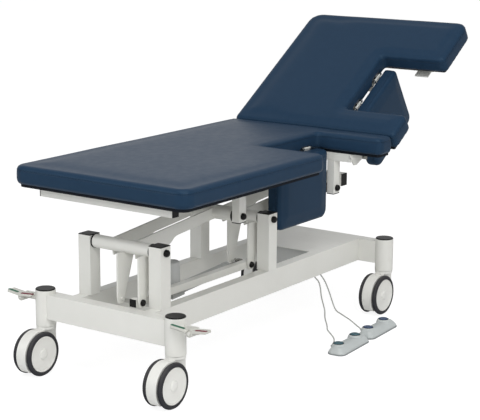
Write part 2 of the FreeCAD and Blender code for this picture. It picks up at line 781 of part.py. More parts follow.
def backrest():
    """Backrest frame, board, cushion, fold-down pad and drive lever."""
    notch0 = hinge_x + back_notch_start
    notch1 = notch0 + back_notch_length
    outline = notched_outline(back_start_x, back_end_x, notch0, notch1)
    radii = [16.0, 16.0, 24.0, 12.0, 12.0, 24.0, 45.0, 55.0]
    flap_start = notch0 + flap_end_gap
    flap_end = notch1 - flap_end_gap
    pocketed = hinge_pockets(cushion(outline, radii), flap_start, flap_end)
    parts["backrest_cushion"] = raised(pocketed)
    board = notched_outline(back_start_x - board_inset + 4.0, back_end_x, notch0, notch1,
                            board_inset, -inner_rail_y - frame_tube - 6.0)
    parts["backrest_board"] = raised(plate_xy(board, [4.0, 4.0, 8.0, 4.0, 4.0, 8.0, 30.0, 40.0],
                                              frame_top, board_top))
    fixed, moving = backrest_hinge()
    parts["backrest_hinge"] = group(fixed)

    z0 = frame_bottom
    z1 = frame_top
    half = frame_tube / 2
    far = frame_tube + inner_rail_y
    start = back_start_x + 4.0
    shapes = []
    for side in (-1, 1):
        y0, y1 = sorted((side * inner_rail_y, side * far))
        shapes.append(block(start, back_end_x - 40.0, y0, y1, z0, z1))
    reach = cross_reach + 40.0
    for x in (notch1 + back_tube_setback, back_end_x - 60.0):
        shapes.append(block(x - half, x + half, -reach, reach, z0, z1))
    for side in (-1, 1):
        y0, y1 = sorted((side * inner_rail_y, side * reach))
        shapes.append(block(start, start + frame_tube, y0, y1, z0, z1))
    tip = notch1 + back_tube_setback - half
    shapes.append(block(tip - 29.0, tip + 8.0, -reach + 12.0, -reach + 70.0, z0 - 5.0, z0))
    lean = math.radians(back_crank_lean)
    tip_x = hinge_x - back_crank_radius * math.sin(lean)
    tip_z = hinge_z - back_crank_radius * math.cos(lean)
    r = 13.0
    inner = actuator_eye_radius
    levers = []
    for side in (-1, 1):
        y0, y1 = sorted((side * inner, side * inner_rail_y))
        lever = plate_xz([(tip_x - r, tip_z + r - 3.0), (tip_x - r, tip_z - r),
                          (tip_x + r, tip_z - r), (start + 90.0, z0), (start + 90.0, z1 - 2.0),
                          (start + 2.0, z1 - 2.0), (start - 6.0, tip_z + r - 3.0)],
                         [9.0, 10.0, 10.0, 0.0, 0.0, 0.0, 8.0], y0, y1)
        stub0, stub1 = sorted((side * (inner - 1.5), side * inner))
        levers.append(join([lever, rod_y(tip_x, tip_z, stub0, stub1, crank_pin_radius)]))
    parts["backrest_lever"] = raised(group(levers))
    parts["backrest_frame"] = raised(group([join(shapes)] + moving))

    pad, flap_board = flap(flap_start, flap_end)
    parts["backrest_flap_pad"] = raised(lowered(pad))
    parts["backrest_flap_board"] = raised(lowered(flap_board))
    brackets = [raised(bracket) for bracket in flap_brackets(flap_start, flap_end)]
    parts["backrest_flap_brackets"] = group(brackets)


def caster(name, x, y):
    """One swivel caster: hood with its swivel pin, twin wheels on their axle, tyres."""
    axle_x = x - caster_trail
    w = hood_half_width
    disc = rod_y(axle_x, wheel_radius, y - w, y + w, hood_radius)
    disc = disc.cut(block(axle_x - 90.0, axle_x + 90.0, y - w - 1, y + w + 1, 0.0, 20.0))
    low = stem_bottom - collar_height - 1.0
    neck = block(x - stem_radius, x + 26.0, y - w, y + w, wheel_radius, low)
    collar = rod((x, y, low), Z_AXIS, stem_radius - 1.0, collar_height)
    pin = rod((x, y, low), Z_AXIS, swivel_pin_radius, collar_height + 36.0)
    hood = join([disc, neck, collar, pin])
    hood = hood.cut(rod_y(axle_x, wheel_radius, y - w - 1, y + w + 1, axle_radius + running_clearance))
    parts["caster_" + name + "_hood"] = hood

    hub_radius = wheel_radius - tyre_depth
    a = wheel_inner_y
    b = wheel_inner_y + wheel_width
    shapes = [rod_y(axle_x, wheel_radius, y - a, y + a, axle_radius)]
    tyres = []
    for side in (-1, 1):
        y0, y1 = sorted((y + side * a, y + side * b))
        hub = rod_y(axle_x, wheel_radius, y0, y1, hub_radius)
        face = y + side * b
        groove = rod_y(axle_x, wheel_radius, face - 1.5, face + 1.5, hub_radius - 5.0)
        shapes.append(hub.cut(groove))
        tyre = ring_y(axle_x, wheel_radius, y0, y1, wheel_radius, hub_radius)
        rims = [e for e in tyre.Edges if e.Curve.TypeId == "Part::GeomCircle"
                and abs(e.Curve.Radius - wheel_radius) < 0.1]
        tyres.append(tyre.makeFillet(6.0, rims))
    parts["caster_" + name + "_wheels"] = join(shapes)
    parts["caster_" + name + "_tyres"] = group(tyres)


def brake_pedal(name, side):
    """A two-ended rocker pedal and the lug that carries it, on a foot-end stem."""
    x = -head_x
    pivot_y = side * (track / 2 + pedal_pivot_out)
    front = x - 36.0
    back = front + pedal_length
    lug = block(back + 1.0, back + 9.0, min(side * (track / 2 + 20.0), pivot_y + side * 9.0),
                max(side * (track / 2 + 20.0), pivot_y + side * 9.0), pedal_z - 12.0,
                pedal_z + 12.0)
    lug = lug.cut(rod((x, side * track / 2, pedal_z - 20.0), Z_AXIS, stem_radius, 40.0))
    pin = rod((front - 3.0, pivot_y, pedal_z), X_AXIS, pedal_pin_radius, back + 5.0 - front)
    lugs = join([lug, pin])
    hub = rod((front, pivot_y, pedal_z), X_AXIS, pedal_hub_radius, pedal_length)
    shapes = [hub]
    for out in (-1, 1):
        near = pivot_y + out * side * (pedal_hub_radius - 3.0)
        far = pivot_y + out * side * (26.0 if out < 0 else 62.0)
        y0, y1 = sorted((near, far))
        z = pedal_z + 2.0
        pad = plate_xy([(front, y0), (back, y0), (back, y1), (front, y1)], [3.0] * 4,
                       z, z + pedal_pad_thickness)
        pad = turned(pad, (x, near, z), X_AXIS, -6.0 if out * side < 0 else 6.0)
        shapes.append(pad)
    pedal = join(shapes)
    bore = rod((front - 5.0, pivot_y, pedal_z), X_AXIS, pedal_pin_radius + running_clearance,
               pedal_length + 10.0)
    parts["brake_pedal_" + name] = pedal.cut(bore)
    return lugs


def switch_place(centre, shape):
    """Turn and shift a foot switch piece, drawn about the origin, to its place."""
    copy = shape.copy()
    copy.rotate(Vector(0, 0, 0), Z_AXIS, switch_angle)
    copy.translate(Vector(centre[0], centre[1], 0))
    return copy


def foot_switch(index, centre):
    """A wedge-shaped floor switch with two round buttons on low bosses."""
    a = switch_length / 2
    b = switch_width / 2
    lower = rounded_wire([(-a, -b), (a, -b), (a, b), (-a, b)], [20.0] * 4,
                         lambda u, v: Vector(u, v, 5.0))
    upper = rounded_wire([(-a + 20, -b + 27), (a - 20, -b + 27), (a - 20, b - 5),
                          (-a + 20, b - 5)], [12.0] * 4, lambda u, v: Vector(u, v, switch_height))
    sole = Part.Face(rounded_wire([(-a, -b), (a, -b), (a, b), (-a, b)], [20.0] * 4,
                                  lambda u, v: Vector(u, v, 0.0))).extrude(Vector(0, 0, 5.0))
    body = join([sole, Part.makeLoft([lower, upper], True)])
    centre_y = 8.0
    for side in (-1, 1):
        x = side * button_spacing / 2
        boss = Part.makeCone(button_radius + 6.0, button_radius + 3.0, 8.0,
                             Vector(x, centre_y, switch_height - 3.0))
        body = body.fuse(boss)
    body = body.removeSplitter()
    buttons = []
    top = switch_height + 5.0
    for side in (-1, 1):
        x = side * button_spacing / 2
        body = body.cut(rod((x, centre_y, top - 8.0), Z_AXIS, button_radius + 0.4, 9.0))
        button = rod((x, centre_y, top - 8.0 + button_travel + 0.4), Z_AXIS, button_radius, 8.0)
        buttons.append(soften(button, top + button_travel + 0.4, 2.0))
    parts["foot_switch_%d" % index] = switch_place(centre, body)
    for number, button in enumerate(buttons):
        parts["foot_switch_%d_button_%d" % (index, number + 1)] = switch_place(centre, button)


def cord_entry(centre):
    """Where a cord meets the back of its foot switch."""
    point = Vector(-38.0, switch_width / 2 - 0.5, 9.0)
    angle = math.radians(switch_angle)
    x = point.x * math.cos(angle) - point.y * math.sin(angle)
    y = point.x * math.sin(angle) + point.y * math.cos(angle)
    return Vector(centre[0] + x, centre[1] + y, point.z)


def cord(name, points):
    """A cord as straight runs joined by the largest tangent arcs that fit."""
    edges = []
    last = points[0]
    length = 0.0
    tightest = 1e9
    for index in range(1, len(points) - 1):
        before, here, after = points[index - 1], points[index], points[index + 1]
        toward = before.sub(here)
        away = after.sub(here)
        short = min(toward.Length, away.Length)
        toward.normalize()
        away.normalize()
        turn = math.pi - toward.getAngle(away)
        back = 0.45 * short
        radius = back / math.tan(turn / 2)
        first = here.add(Vector(toward).multiply(back))
        second = here.add(Vector(away).multiply(back))
        bisector = toward.add(away)
        bisector.normalize()
        middle = here.add(bisector.multiply(radius / math.cos(turn / 2) - radius))
        edges.append(Part.LineSegment(last, first).toShape())
        edges.append(Part.Arc(first, middle, second).toShape())
        tightest = min(tightest, radius)
        last = second
    edges.append(Part.LineSegment(last, points[-1]).toShape())
    wire = Part.Wire(edges)
    length = wire.Length
    direction = points[1].sub(points[0])
    section = Part.Wire([Part.makeCircle(cord_radius, points[0], direction)])
    tube = wire.makePipeShell([section], True, False, 1)
    print("%s length %.1f mm, tightest arc %.1f mm, volume ratio %.4f"
          % (name, length, tightest, tube.Volume / (math.pi * cord_radius ** 2 * length)))
    parts[name] = tube


cord_starts = [Vector(404.0, -104.0, 186.0), Vector(446.0, -104.0, 186.0)]
cord_points = [
    [cord_starts[0], Vector(405.0, -104.5, 170.0), Vector(424.0, -106.0, 150.0),
     Vector(450.0, -108.0, 128.0), Vector(458.0, -110.0, 102.0), Vector(459.0, -113.0, 70.0),
     Vector(469.0, -117.0, 36.0), Vector(472.0, -123.0, 11.0), Vector(451.0, -136.0, 3.3),
     Vector(418.0, -157.0, 3.0), Vector(382.0, -183.0, 3.2), Vector(334.0, -220.0, 3.0),
     Vector(290.0, -247.0, 3.2), Vector(260.0, -279.0, 3.0), Vector(232.0, -308.0, 3.2),
     Vector(202.0, -333.0, 3.0), Vector(166.0, -352.0, 3.8), Vector(140.0, -363.0, 6.0)],
    [cord_starts[1], Vector(447.0, -104.5, 172.0), Vector(464.0, -105.5, 152.0),
     Vector(488.0, -107.0, 128.0), Vector(506.0, -110.0, 98.0), Vector(519.0, -114.0, 68.0),
     Vector(527.0, -120.0, 38.0), Vector(526.0, -132.0, 12.0), Vector(513.0, -152.0, 3.3),
     Vector(498.0, -178.0, 3.0), Vector(474.0, -212.0, 3.2), Vector(448.0, -251.0, 3.0),
     Vector(415.0, -290.0, 3.2), Vector(388.0, -322.0, 3.4), Vector(366.0, -346.0, 5.0)],
]


def cords():
    """Both foot switch cords, from their glands to the backs of the switches."""
    for index, centre in enumerate(switch_centres):
        entry = cord_entry(centre)
        lead = Vector(entry.x + 6.0, entry.y + 14.0, entry.z - 1.0)
        points = cord_points[index] + [lead, entry]
        cord("foot_switch_cord_%d" % (index + 1), points)


def main():
    """Build every sub-part and write one STEP file for each."""
    base_frame()
    control_gear()
    lift_arm("foot", foot_pivot_x)
    lift_arm("head", head_pivot_x)
    tie_bar()
    actuator("lift_actuator", (lift_bracket_x, lift_actuator_y, lift_bracket_z),
             (lift_pin[0], lift_actuator_y, lift_pin[1]), lift_tube_length, lift_rod_length,
             lift_rod_retraction, 1)
    pin_x, pin_z = back_pin_rest()
    actuator("back_actuator", (back_bracket_x, 0.0, pin_z), (pin_x, 0.0, pin_z),
             back_tube_length, back_rod_length, back_rod_retraction, 0)
    top_frame()
    seat()
    backrest()
    for name, (x, y) in caster_places.items():
        caster(name, x, y)
    parts["pedal_lugs"] = group([brake_pedal("near", -1), brake_pedal("far", 1)])
    for index, centre in enumerate(switch_centres):
        foot_switch(index + 1, centre)
    cords()
    os.makedirs("parts", exist_ok=True)
    for name, shape in parts.items():
        shape.exportStep(os.path.join("parts", name + ".step"))
        solids = shape.Solids
        print("%-28s solids %d valid %s volume %.0f" % (name, len(solids), shape.isValid(),
                                                       shape.Volume))
    print("%d nodes" % len(parts))


main()
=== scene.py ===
"""Looks of a height-adjustable examination table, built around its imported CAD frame.

Every length is in metres and every piece stands in the row frame: +X toward the backrest
end, +Y toward the far side, +Z up, with the origin on the floor under the table's middle.
"""

from __future__ import annotations

import json
import logging
import math
from dataclasses import dataclass, field
from enum import Enum
from typing import Any, Callable, Iterable, Sequence

import bmesh
import bpy
import numpy as np
from mathutils import Matrix, Vector
from mathutils.bvhtree import BVHTree

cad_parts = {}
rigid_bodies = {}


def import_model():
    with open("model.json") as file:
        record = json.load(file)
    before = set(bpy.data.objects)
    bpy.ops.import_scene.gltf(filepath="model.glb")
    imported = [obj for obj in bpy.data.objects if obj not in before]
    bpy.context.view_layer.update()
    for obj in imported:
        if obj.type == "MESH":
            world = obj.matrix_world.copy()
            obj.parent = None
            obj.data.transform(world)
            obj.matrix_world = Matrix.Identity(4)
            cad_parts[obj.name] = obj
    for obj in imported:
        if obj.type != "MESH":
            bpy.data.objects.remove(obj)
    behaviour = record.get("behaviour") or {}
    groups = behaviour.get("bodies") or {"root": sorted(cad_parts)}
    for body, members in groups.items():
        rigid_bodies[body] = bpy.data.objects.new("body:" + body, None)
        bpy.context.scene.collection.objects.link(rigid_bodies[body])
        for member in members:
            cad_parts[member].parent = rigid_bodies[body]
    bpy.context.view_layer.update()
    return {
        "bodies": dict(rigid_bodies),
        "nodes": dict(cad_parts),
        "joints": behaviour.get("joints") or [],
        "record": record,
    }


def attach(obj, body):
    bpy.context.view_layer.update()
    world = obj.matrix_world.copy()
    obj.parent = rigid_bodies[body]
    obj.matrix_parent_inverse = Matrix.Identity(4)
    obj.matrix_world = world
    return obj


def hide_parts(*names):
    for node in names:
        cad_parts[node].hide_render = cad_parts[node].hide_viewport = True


LOG = logging.getLogger("examination_table")
MM = 0.001
Colour = tuple[float, float, float]
Outline = tuple[tuple[float, float], ...]
Profile = Sequence[tuple[float, float]]
POLE = 1e-7
ARC_STEPS = 8


def srgb(red: int, green: int, blue: int) -> Colour:
    """Turn a display colour into a linear one.

    Args:
        red: Red, 0 to 255.
        green: Green, 0 to 255.
        blue: Blue, 0 to 255.

    Returns:
        The same colour in linear light.
    """

    def channel(value: int) -> float:
        """Turn one channel."""
        share = value / 255.0
        return share / 12.92 if share <= 0.04045 else ((share + 0.055) / 1.055) ** 2.4

    return channel(red), channel(green), channel(blue)


# Meshes


def keep_mesh(name: str, mesh: bpy.types.Mesh, material: bpy.types.Material) -> bpy.types.Object:
    """Put a finished mesh in the scene with one material.

    Args:
        name: Name of the new piece.
        mesh: Mesh whose vertices are already in place.
        material: Material of the whole piece.

    Returns:
        The new object, at the origin.
    """
    mesh.name = name
    mesh.materials.clear()
    mesh.materials.append(material)
    piece = bpy.data.objects.new(name, mesh)
    bpy.context.scene.collection.objects.link(piece)
    return piece


def shade_smooth(mesh: bpy.types.Mesh, angle: float = 35.0) -> None:
    """Smooth a mesh, but keep its edges sharper than an angle.

    Args:
        mesh: Mesh to shade.
        angle: Largest angle in degrees that is still smoothed.
    """
    mesh.polygons.foreach_set("use_smooth", [True] * len(mesh.polygons))
    work = bmesh.new()
    work.from_mesh(mesh)
    limit = math.radians(angle)
    for edge in work.edges:
        edge.smooth = len(edge.link_faces) == 2 and edge.calc_face_angle(0.0) < limit
    work.to_mesh(mesh)
    work.free()


def mesh_from(
    name: str,
    fill: Callable[[bmesh.types.BMesh], None],
    material: bpy.types.Material,
    angle: float = 35.0,
) -> bpy.types.Object:
    """Build a piece with bmesh, weld it, turn its faces outwards and shade it.

    Args:
        name: Name of the new piece.
        fill: Function that adds the geometry.
        material: Material of the whole piece.
        angle: Largest angle in degrees that is shaded smooth.

    Returns:
        The new object.
    """
    work = bmesh.new()
    fill(work)
    bmesh.ops.remove_doubles(work, verts=work.verts, dist=1e-6)
    bmesh.ops.recalc_face_normals(work, faces=work.faces)
    mesh = bpy.data.meshes.new(name)
    work.to_mesh(mesh)
    work.free()
    shade_smooth(mesh, angle)
    return keep_mesh(name, mesh, material)


def add_lathe(
    work: bmesh.types.BMesh, profile: Profile, place: Matrix, segments: int = 64
) -> None:
    """Turn a closed or pole-to-pole profile about the local Z axis.

    Args:
        work: Mesh that is being built.
        profile: Points as radius and height.
        place: Where the local frame stands in the row frame.
        segments: Steps round the axis.
    """
    rings = []
    for radius, height in profile:
        if radius < POLE:
            rings.append([work.verts.new(place @ Vector((0, 0, height)))])
            continue
        ring = []
        for step in range(segments):
            turn = 2 * math.pi * step / segments
            spot = Vector((radius * math.cos(turn), radius * math.sin(turn), height))
            ring.append(work.verts.new(place @ spot))
        rings.append(ring)
    for low, high in zip(rings, rings[1:]):
        for step in range(segments):
            after = (step + 1) % segments
            if len(low) == 1 and len(high) == 1:
                continue
            if len(low) == 1:
                work.faces.new((low[0], high[step], high[after]))
            elif len(high) == 1:
                work.faces.new((low[step], high[0], low[after]))
            else:
                work.faces.new((low[step], high[step], high[after], low[after]))


def axis_frame(centre: Vector, axis: Vector) -> Matrix:
    """Give a frame whose Z lies along an axis.

    Args:
        centre: Origin of the frame.
        axis: Direction of its Z.

    Returns:
        The frame as a matrix.
    """
    turn = axis.normalized().to_track_quat("Z", "Y").to_matrix().to_4x4()
    return Matrix.Translation(centre) @ turn


def settle(piece: bpy.types.Object, body: str, node: str | None = None) -> None:
    """Attach a piece to its body and hide the CAD node that it stands for.

    Args:
        piece: The piece.
        body: Body that it rides on.
        node: CAD node that it stands for, if it hides one.
    """
    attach(piece, body)
    if node is not None:
        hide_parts(node)


def add_node(
    tree: bpy.types.NodeTree,
    kind: str,
    values: dict[str | int, Any] | None = None,
    **settings: Any,
) -> bpy.types.Node:
    """Add a node with its settings and the values of its open sockets.

    Args:
        tree: Tree that gets the node.
        kind: Type of the node.
        values: Value of each input socket, by name or number.
        settings: Attributes of the node itself.

    Returns:
        The new node.
    """
    node = tree.nodes.new(kind)
    for label, value in settings.items():
        setattr(node, label, value)
    for label, value in (values or {}).items():
        node.inputs[label].default_value = value
    return node


def wire(
    tree: bpy.types.NodeTree,
    *links: tuple[bpy.types.Node, str | int, bpy.types.Node, str | int],
) -> None:
    """Link nodes, each link as node, output, node and input.

    Args:
        tree: Tree of the nodes.
        links: The links.
    """
    for source, way_out, target, way_in in links:
        tree.links.new(source.outputs[way_out], target.inputs[way_in])


# Repeats along a path


class PathRepeater:
    """A Geometry Nodes tree that lays one small item along a path at an even spacing."""

    def __init__(self) -> None:
        """Build the tree once."""
        tree = bpy.data.node_groups.new("repeat along path", "GeometryNodeTree")
        face = tree.interface
        for label, kind in (("Path", "Geometry"), ("Spacing", "Float"), ("Item", "Object"),
                            ("Finish", "Material")):
            face.new_socket(label, in_out="INPUT", socket_type="NodeSocket" + kind)
        face.new_socket("Result", in_out="OUTPUT", socket_type="NodeSocketGeometry")
        start = add_node(tree, "NodeGroupInput")
        end = add_node(tree, "NodeGroupOutput")
        curve = add_node(tree, "GeometryNodeMeshToCurve")
        points = add_node(tree, "GeometryNodeCurveToPoints", mode="LENGTH")
        turn = add_node(tree, "FunctionNodeAlignRotationToVector", axis="Z")
        item = add_node(tree, "GeometryNodeObjectInfo")
        copies = add_node(tree, "GeometryNodeInstanceOnPoints")
        real = add_node(tree, "GeometryNodeRealizeInstances")
        paint = add_node(tree, "GeometryNodeSetMaterial")
        wire(
            tree,
            (start, "Path", curve, "Mesh"),
            (curve, "Curve", points, "Curve"),
            (start, "Spacing", points, "Length"),
            (points, "Tangent", turn, "Vector"),
            (start, "Item", item, "Object"),
            (points, "Points", copies, "Points"),
            (item, "Geometry", copies, "Instance"),
            (turn, "Rotation", copies, "Rotation"),
            (copies, "Instances", real, "Geometry"),
            (real, "Geometry", paint, "Geometry"),
            (start, "Finish", paint, "Material"),
            (paint, "Geometry", end, "Result"),
        )
        self.tree = tree
        self.sockets = {
            s.name: s.identifier for s in face.items_tree if s.in_out == "INPUT"
        }

    def lay(
        self,
        name: str,
        paths: Iterable[Sequence[Vector]],
        spacing: float,
        item: bpy.types.Mesh,
        material: bpy.types.Material,
    ) -> bpy.types.Object:
        """Lay an item along paths and return the result as a plain mesh.

        Args:
            name: Name of the new piece.
            paths: Lines of points in the row frame.
            spacing: Distance between items in metres.
            item: Mesh of one item, long axis along Z.
            material: Material of every item.

        Returns:
            The new object.
        """
        verts: list[Vector] = []
        edges: list[tuple[int, int]] = []
        for path in paths:
            first = len(verts)
            verts.extend(path)
            edges.extend((first + k, first + k + 1) for k in range(len(path) - 1))
        line = bpy.data.meshes.new(name + "_line")
        line.from_pydata(verts, edges, [])
        holder = bpy.data.objects.new(name + "_line", line)
        sample = bpy.data.objects.new(name + "_item", item)
        bpy.context.scene.collection.objects.link(holder)
        bpy.context.scene.collection.objects.link(sample)
        grid = holder.modifiers.new("repeat", "NODES")
        grid.node_group = self.tree
        grid[self.sockets["Spacing"]] = spacing
        grid[self.sockets["Item"]] = sample
        grid[self.sockets["Finish"]] = material
        view = bpy.context.evaluated_depsgraph_get()
        mesh = bpy.data.meshes.new_from_object(holder.evaluated_get(view))
        holder.modifiers.clear()
        bpy.data.objects.remove(holder)
        bpy.data.objects.remove(sample)
        shade_smooth(mesh)
        return keep_mesh(name, mesh, material)


def small_item(name: str, profile: Profile, squash: float = 1.0) -> bpy.types.Mesh:
    """Make the mesh of one repeated item as a turned form with few faces.

    Args:
        name: Name of the mesh.
        profile: Radius and height points along its long axis.
        squash: Share of its width that its depth keeps.

    Returns:
        The mesh.
    """
    work = bmesh.new()
    add_lathe(work, profile, Matrix.Diagonal((1.0, squash, 1.0, 1.0)), 6)
    bmesh.ops.recalc_face_normals(work, faces=work.faces)
    mesh = bpy.data.meshes.new(name)
    work.to_mesh(mesh)
    work.free()
    return mesh


# Materials


class Effects:
    """Shader groups that more than one finish uses."""

    def __init__(self) -> None:
        """Build the four groups."""
        self.grain = self._grain()
        self.wear = self._wear()
        self.dust = self._dust()
        self.pebble = self._pebble()

    @staticmethod
    def _group(
        name: str, inputs: dict[str, float], outputs: dict[str, str]
    ) -> tuple[bpy.types.NodeTree, bpy.types.Node, bpy.types.Node]:
        """Make an empty group.

        Args:
            name: Name of the group.
            inputs: Float inputs and their defaults.
            outputs: Output names and socket types.

        Returns:
            The group's tree, its input node and its output node.
        """
        tree = bpy.data.node_groups.new(name, "ShaderNodeTree")
        for label, value in inputs.items():
            socket = tree.interface.new_socket(label, in_out="INPUT", socket_type="NodeSocketFloat")
            socket.default_value = value
        for label, kind in outputs.items():
            tree.interface.new_socket(label, in_out="OUTPUT", socket_type="NodeSocket" + kind)
        return tree, add_node(tree, "NodeGroupInput"), add_node(tree, "NodeGroupOutput")

    def _grain(self) -> bpy.types.NodeTree:
        """Fine surface height and slow tone drift, on object coordinates."""
        tree, start, end = self._group(
            "surface grain",
            {"Fine": 900.0, "Broad": 6.0, "Contrast": 0.5},
            {"Height": "Float", "Tone": "Float"},
        )
        spot = add_node(tree, "ShaderNodeTexCoord")
        fine = add_node(tree, "ShaderNodeTexNoise", {"Detail": 2.0})
        broad = add_node(tree, "ShaderNodeTexNoise", {"Detail": 4.0})
        spread = add_node(tree, "ShaderNodeMapRange", {"From Min": 0.3, "From Max": 0.7})
        scale = add_node(tree, "ShaderNodeMath", operation="MULTIPLY")
        wire(
            tree,
            (spot, "Object", fine, "Vector"),
            (spot, "Object", broad, "Vector"),
            (start, "Fine", fine, "Scale"),
            (start, "Broad", broad, "Scale"),
            (broad, "Fac", spread, "Value"),
            (spread, "Result", scale, 0),
            (start, "Contrast", scale, 1),
            (fine, "Fac", end, "Height"),
            (scale, "Value", end, "Tone"),
        )
        return tree

    def _wear(self) -> bpy.types.NodeTree:
        """Mask of worn edges and the rounded normal that shows them."""
        tree, start, end = self._group(
            "edge wear",
            {"Radius": 0.0015, "Spread": 3.0, "Amount": 0.5},
            {"Mask": "Float", "Normal": "Vector"},
        )
        round_edge = add_node(tree, "ShaderNodeBevel", samples=4)
        flat = add_node(tree, "ShaderNodeNewGeometry")
        dot = add_node(tree, "ShaderNodeVectorMath", operation="DOT_PRODUCT")
        turn = add_node(tree, "ShaderNodeMapRange", {"From Min": 0.995, "From Max": 0.86})
        spot = add_node(tree, "ShaderNodeTexCoord")
        noise = add_node(tree, "ShaderNodeTexNoise", {"Scale": 55.0, "Detail": 6.0})
        power = add_node(tree, "ShaderNodeMath", operation="POWER")
        both = add_node(tree, "ShaderNodeMath", operation="MULTIPLY")
        amount = add_node(tree, "ShaderNodeMath", operation="MULTIPLY")
        wire(
            tree,
            (start, "Radius", round_edge, "Radius"),
            (round_edge, "Normal", dot, 0),
            (flat, "Normal", dot, 1),
            (dot, "Value", turn, "Value"),
            (spot, "Object", noise, "Vector"),
            (noise, "Fac", power, 0),
            (start, "Spread", power, 1),
            (turn, "Result", both, 0),
            (power, "Value", both, 1),
            (both, "Value", amount, 0),
            (start, "Amount", amount, 1),
            (amount, "Value", end, "Mask"),
            (round_edge, "Normal", end, "Normal"),
        )
        return tree

    def _dust(self) -> bpy.types.NodeTree:
        """Mask of dust that settles on faces that look up and near the floor."""
        tree, start, end = self._group(
            "settled dust", {"Amount": 0.3, "Low": 0.0, "High": 0.5}, {"Mask": "Float"}
        )
        flat = add_node(tree, "ShaderNodeNewGeometry")
        split = add_node(tree, "ShaderNodeSeparateXYZ")
        spot = add_node(tree, "ShaderNodeTexCoord")
        place = add_node(tree, "ShaderNodeSeparateXYZ")
        height = add_node(tree, "ShaderNodeMapRange", {"To Min": 1.0, "To Max": 0.0})
        noise = add_node(tree, "ShaderNodeTexNoise", {"Scale": 24.0, "Detail": 8.0})
        up = add_node(tree, "ShaderNodeMapRange", {"From Min": -0.6})
        both = add_node(tree, "ShaderNodeMath", operation="MULTIPLY")
        more = add_node(tree, "ShaderNodeMath", operation="MULTIPLY")
        last = add_node(tree, "ShaderNodeMath", operation="MULTIPLY")
        wire(
            tree,
            (flat, "Normal", split, 0),
            (split, "Z", up, "Value"),
            (spot, "Object", place, 0),
            (place, "Z", height, "Value"),
            (start, "Low", height, "From Min"),
            (start, "High", height, "From Max"),
            (spot, "Object", noise, "Vector"),
            (up, "Result", both, 0),
            (height, "Result", both, 1),
            (both, "Value", more, 0),
            (noise, "Fac", more, 1),
            (more, "Value", last, 0),
            (start, "Amount", last, 1),
            (last, "Value", end, "Mask"),
        )
        return tree

    def _pebble(self) -> bpy.types.NodeTree:
        """Pebbled grain of upholstery vinyl: cell height and a tone mask."""
        tree, start, end = self._group(
            "pebble grain", {"Scale": 700.0, "Crease": 40.0}, {"Height": "Float", "Tone": "Float"}
        )
        spot = add_node(tree, "ShaderNodeTexCoord")
        cells = add_node(tree, "ShaderNodeTexVoronoi", feature="SMOOTH_F1")
        crease = add_node(tree, "ShaderNodeTexNoise", {"Detail": 5.0})
        mix = add_node(tree, "ShaderNodeMath", {1: 0.7}, operation="MULTIPLY_ADD")
        wire(
            tree,
            (spot, "Object", cells, "Vector"),
            (spot, "Object", crease, "Vector"),
            (start, "Scale", cells, "Scale"),
            (start, "Crease", crease, "Scale"),
            (cells, "Distance", mix, 0),
            (crease, "Fac", mix, 2),
            (mix, "Value", end, "Height"),
            (crease, "Fac", end, "Tone"),
        )
        return tree


class Texture(Enum):
    """The surface that a finish has under its colour."""

    SMOOTH = "smooth coat"
    MOULDED = "moulded plastic"
    PEBBLED = "pebbled vinyl"


DUST = srgb(150, 146, 138)
COAT_GRAIN = 650.0
MOULD_GRAIN = 1400.0
SMOOTHER = 0.06
ROUGHER = 0.08


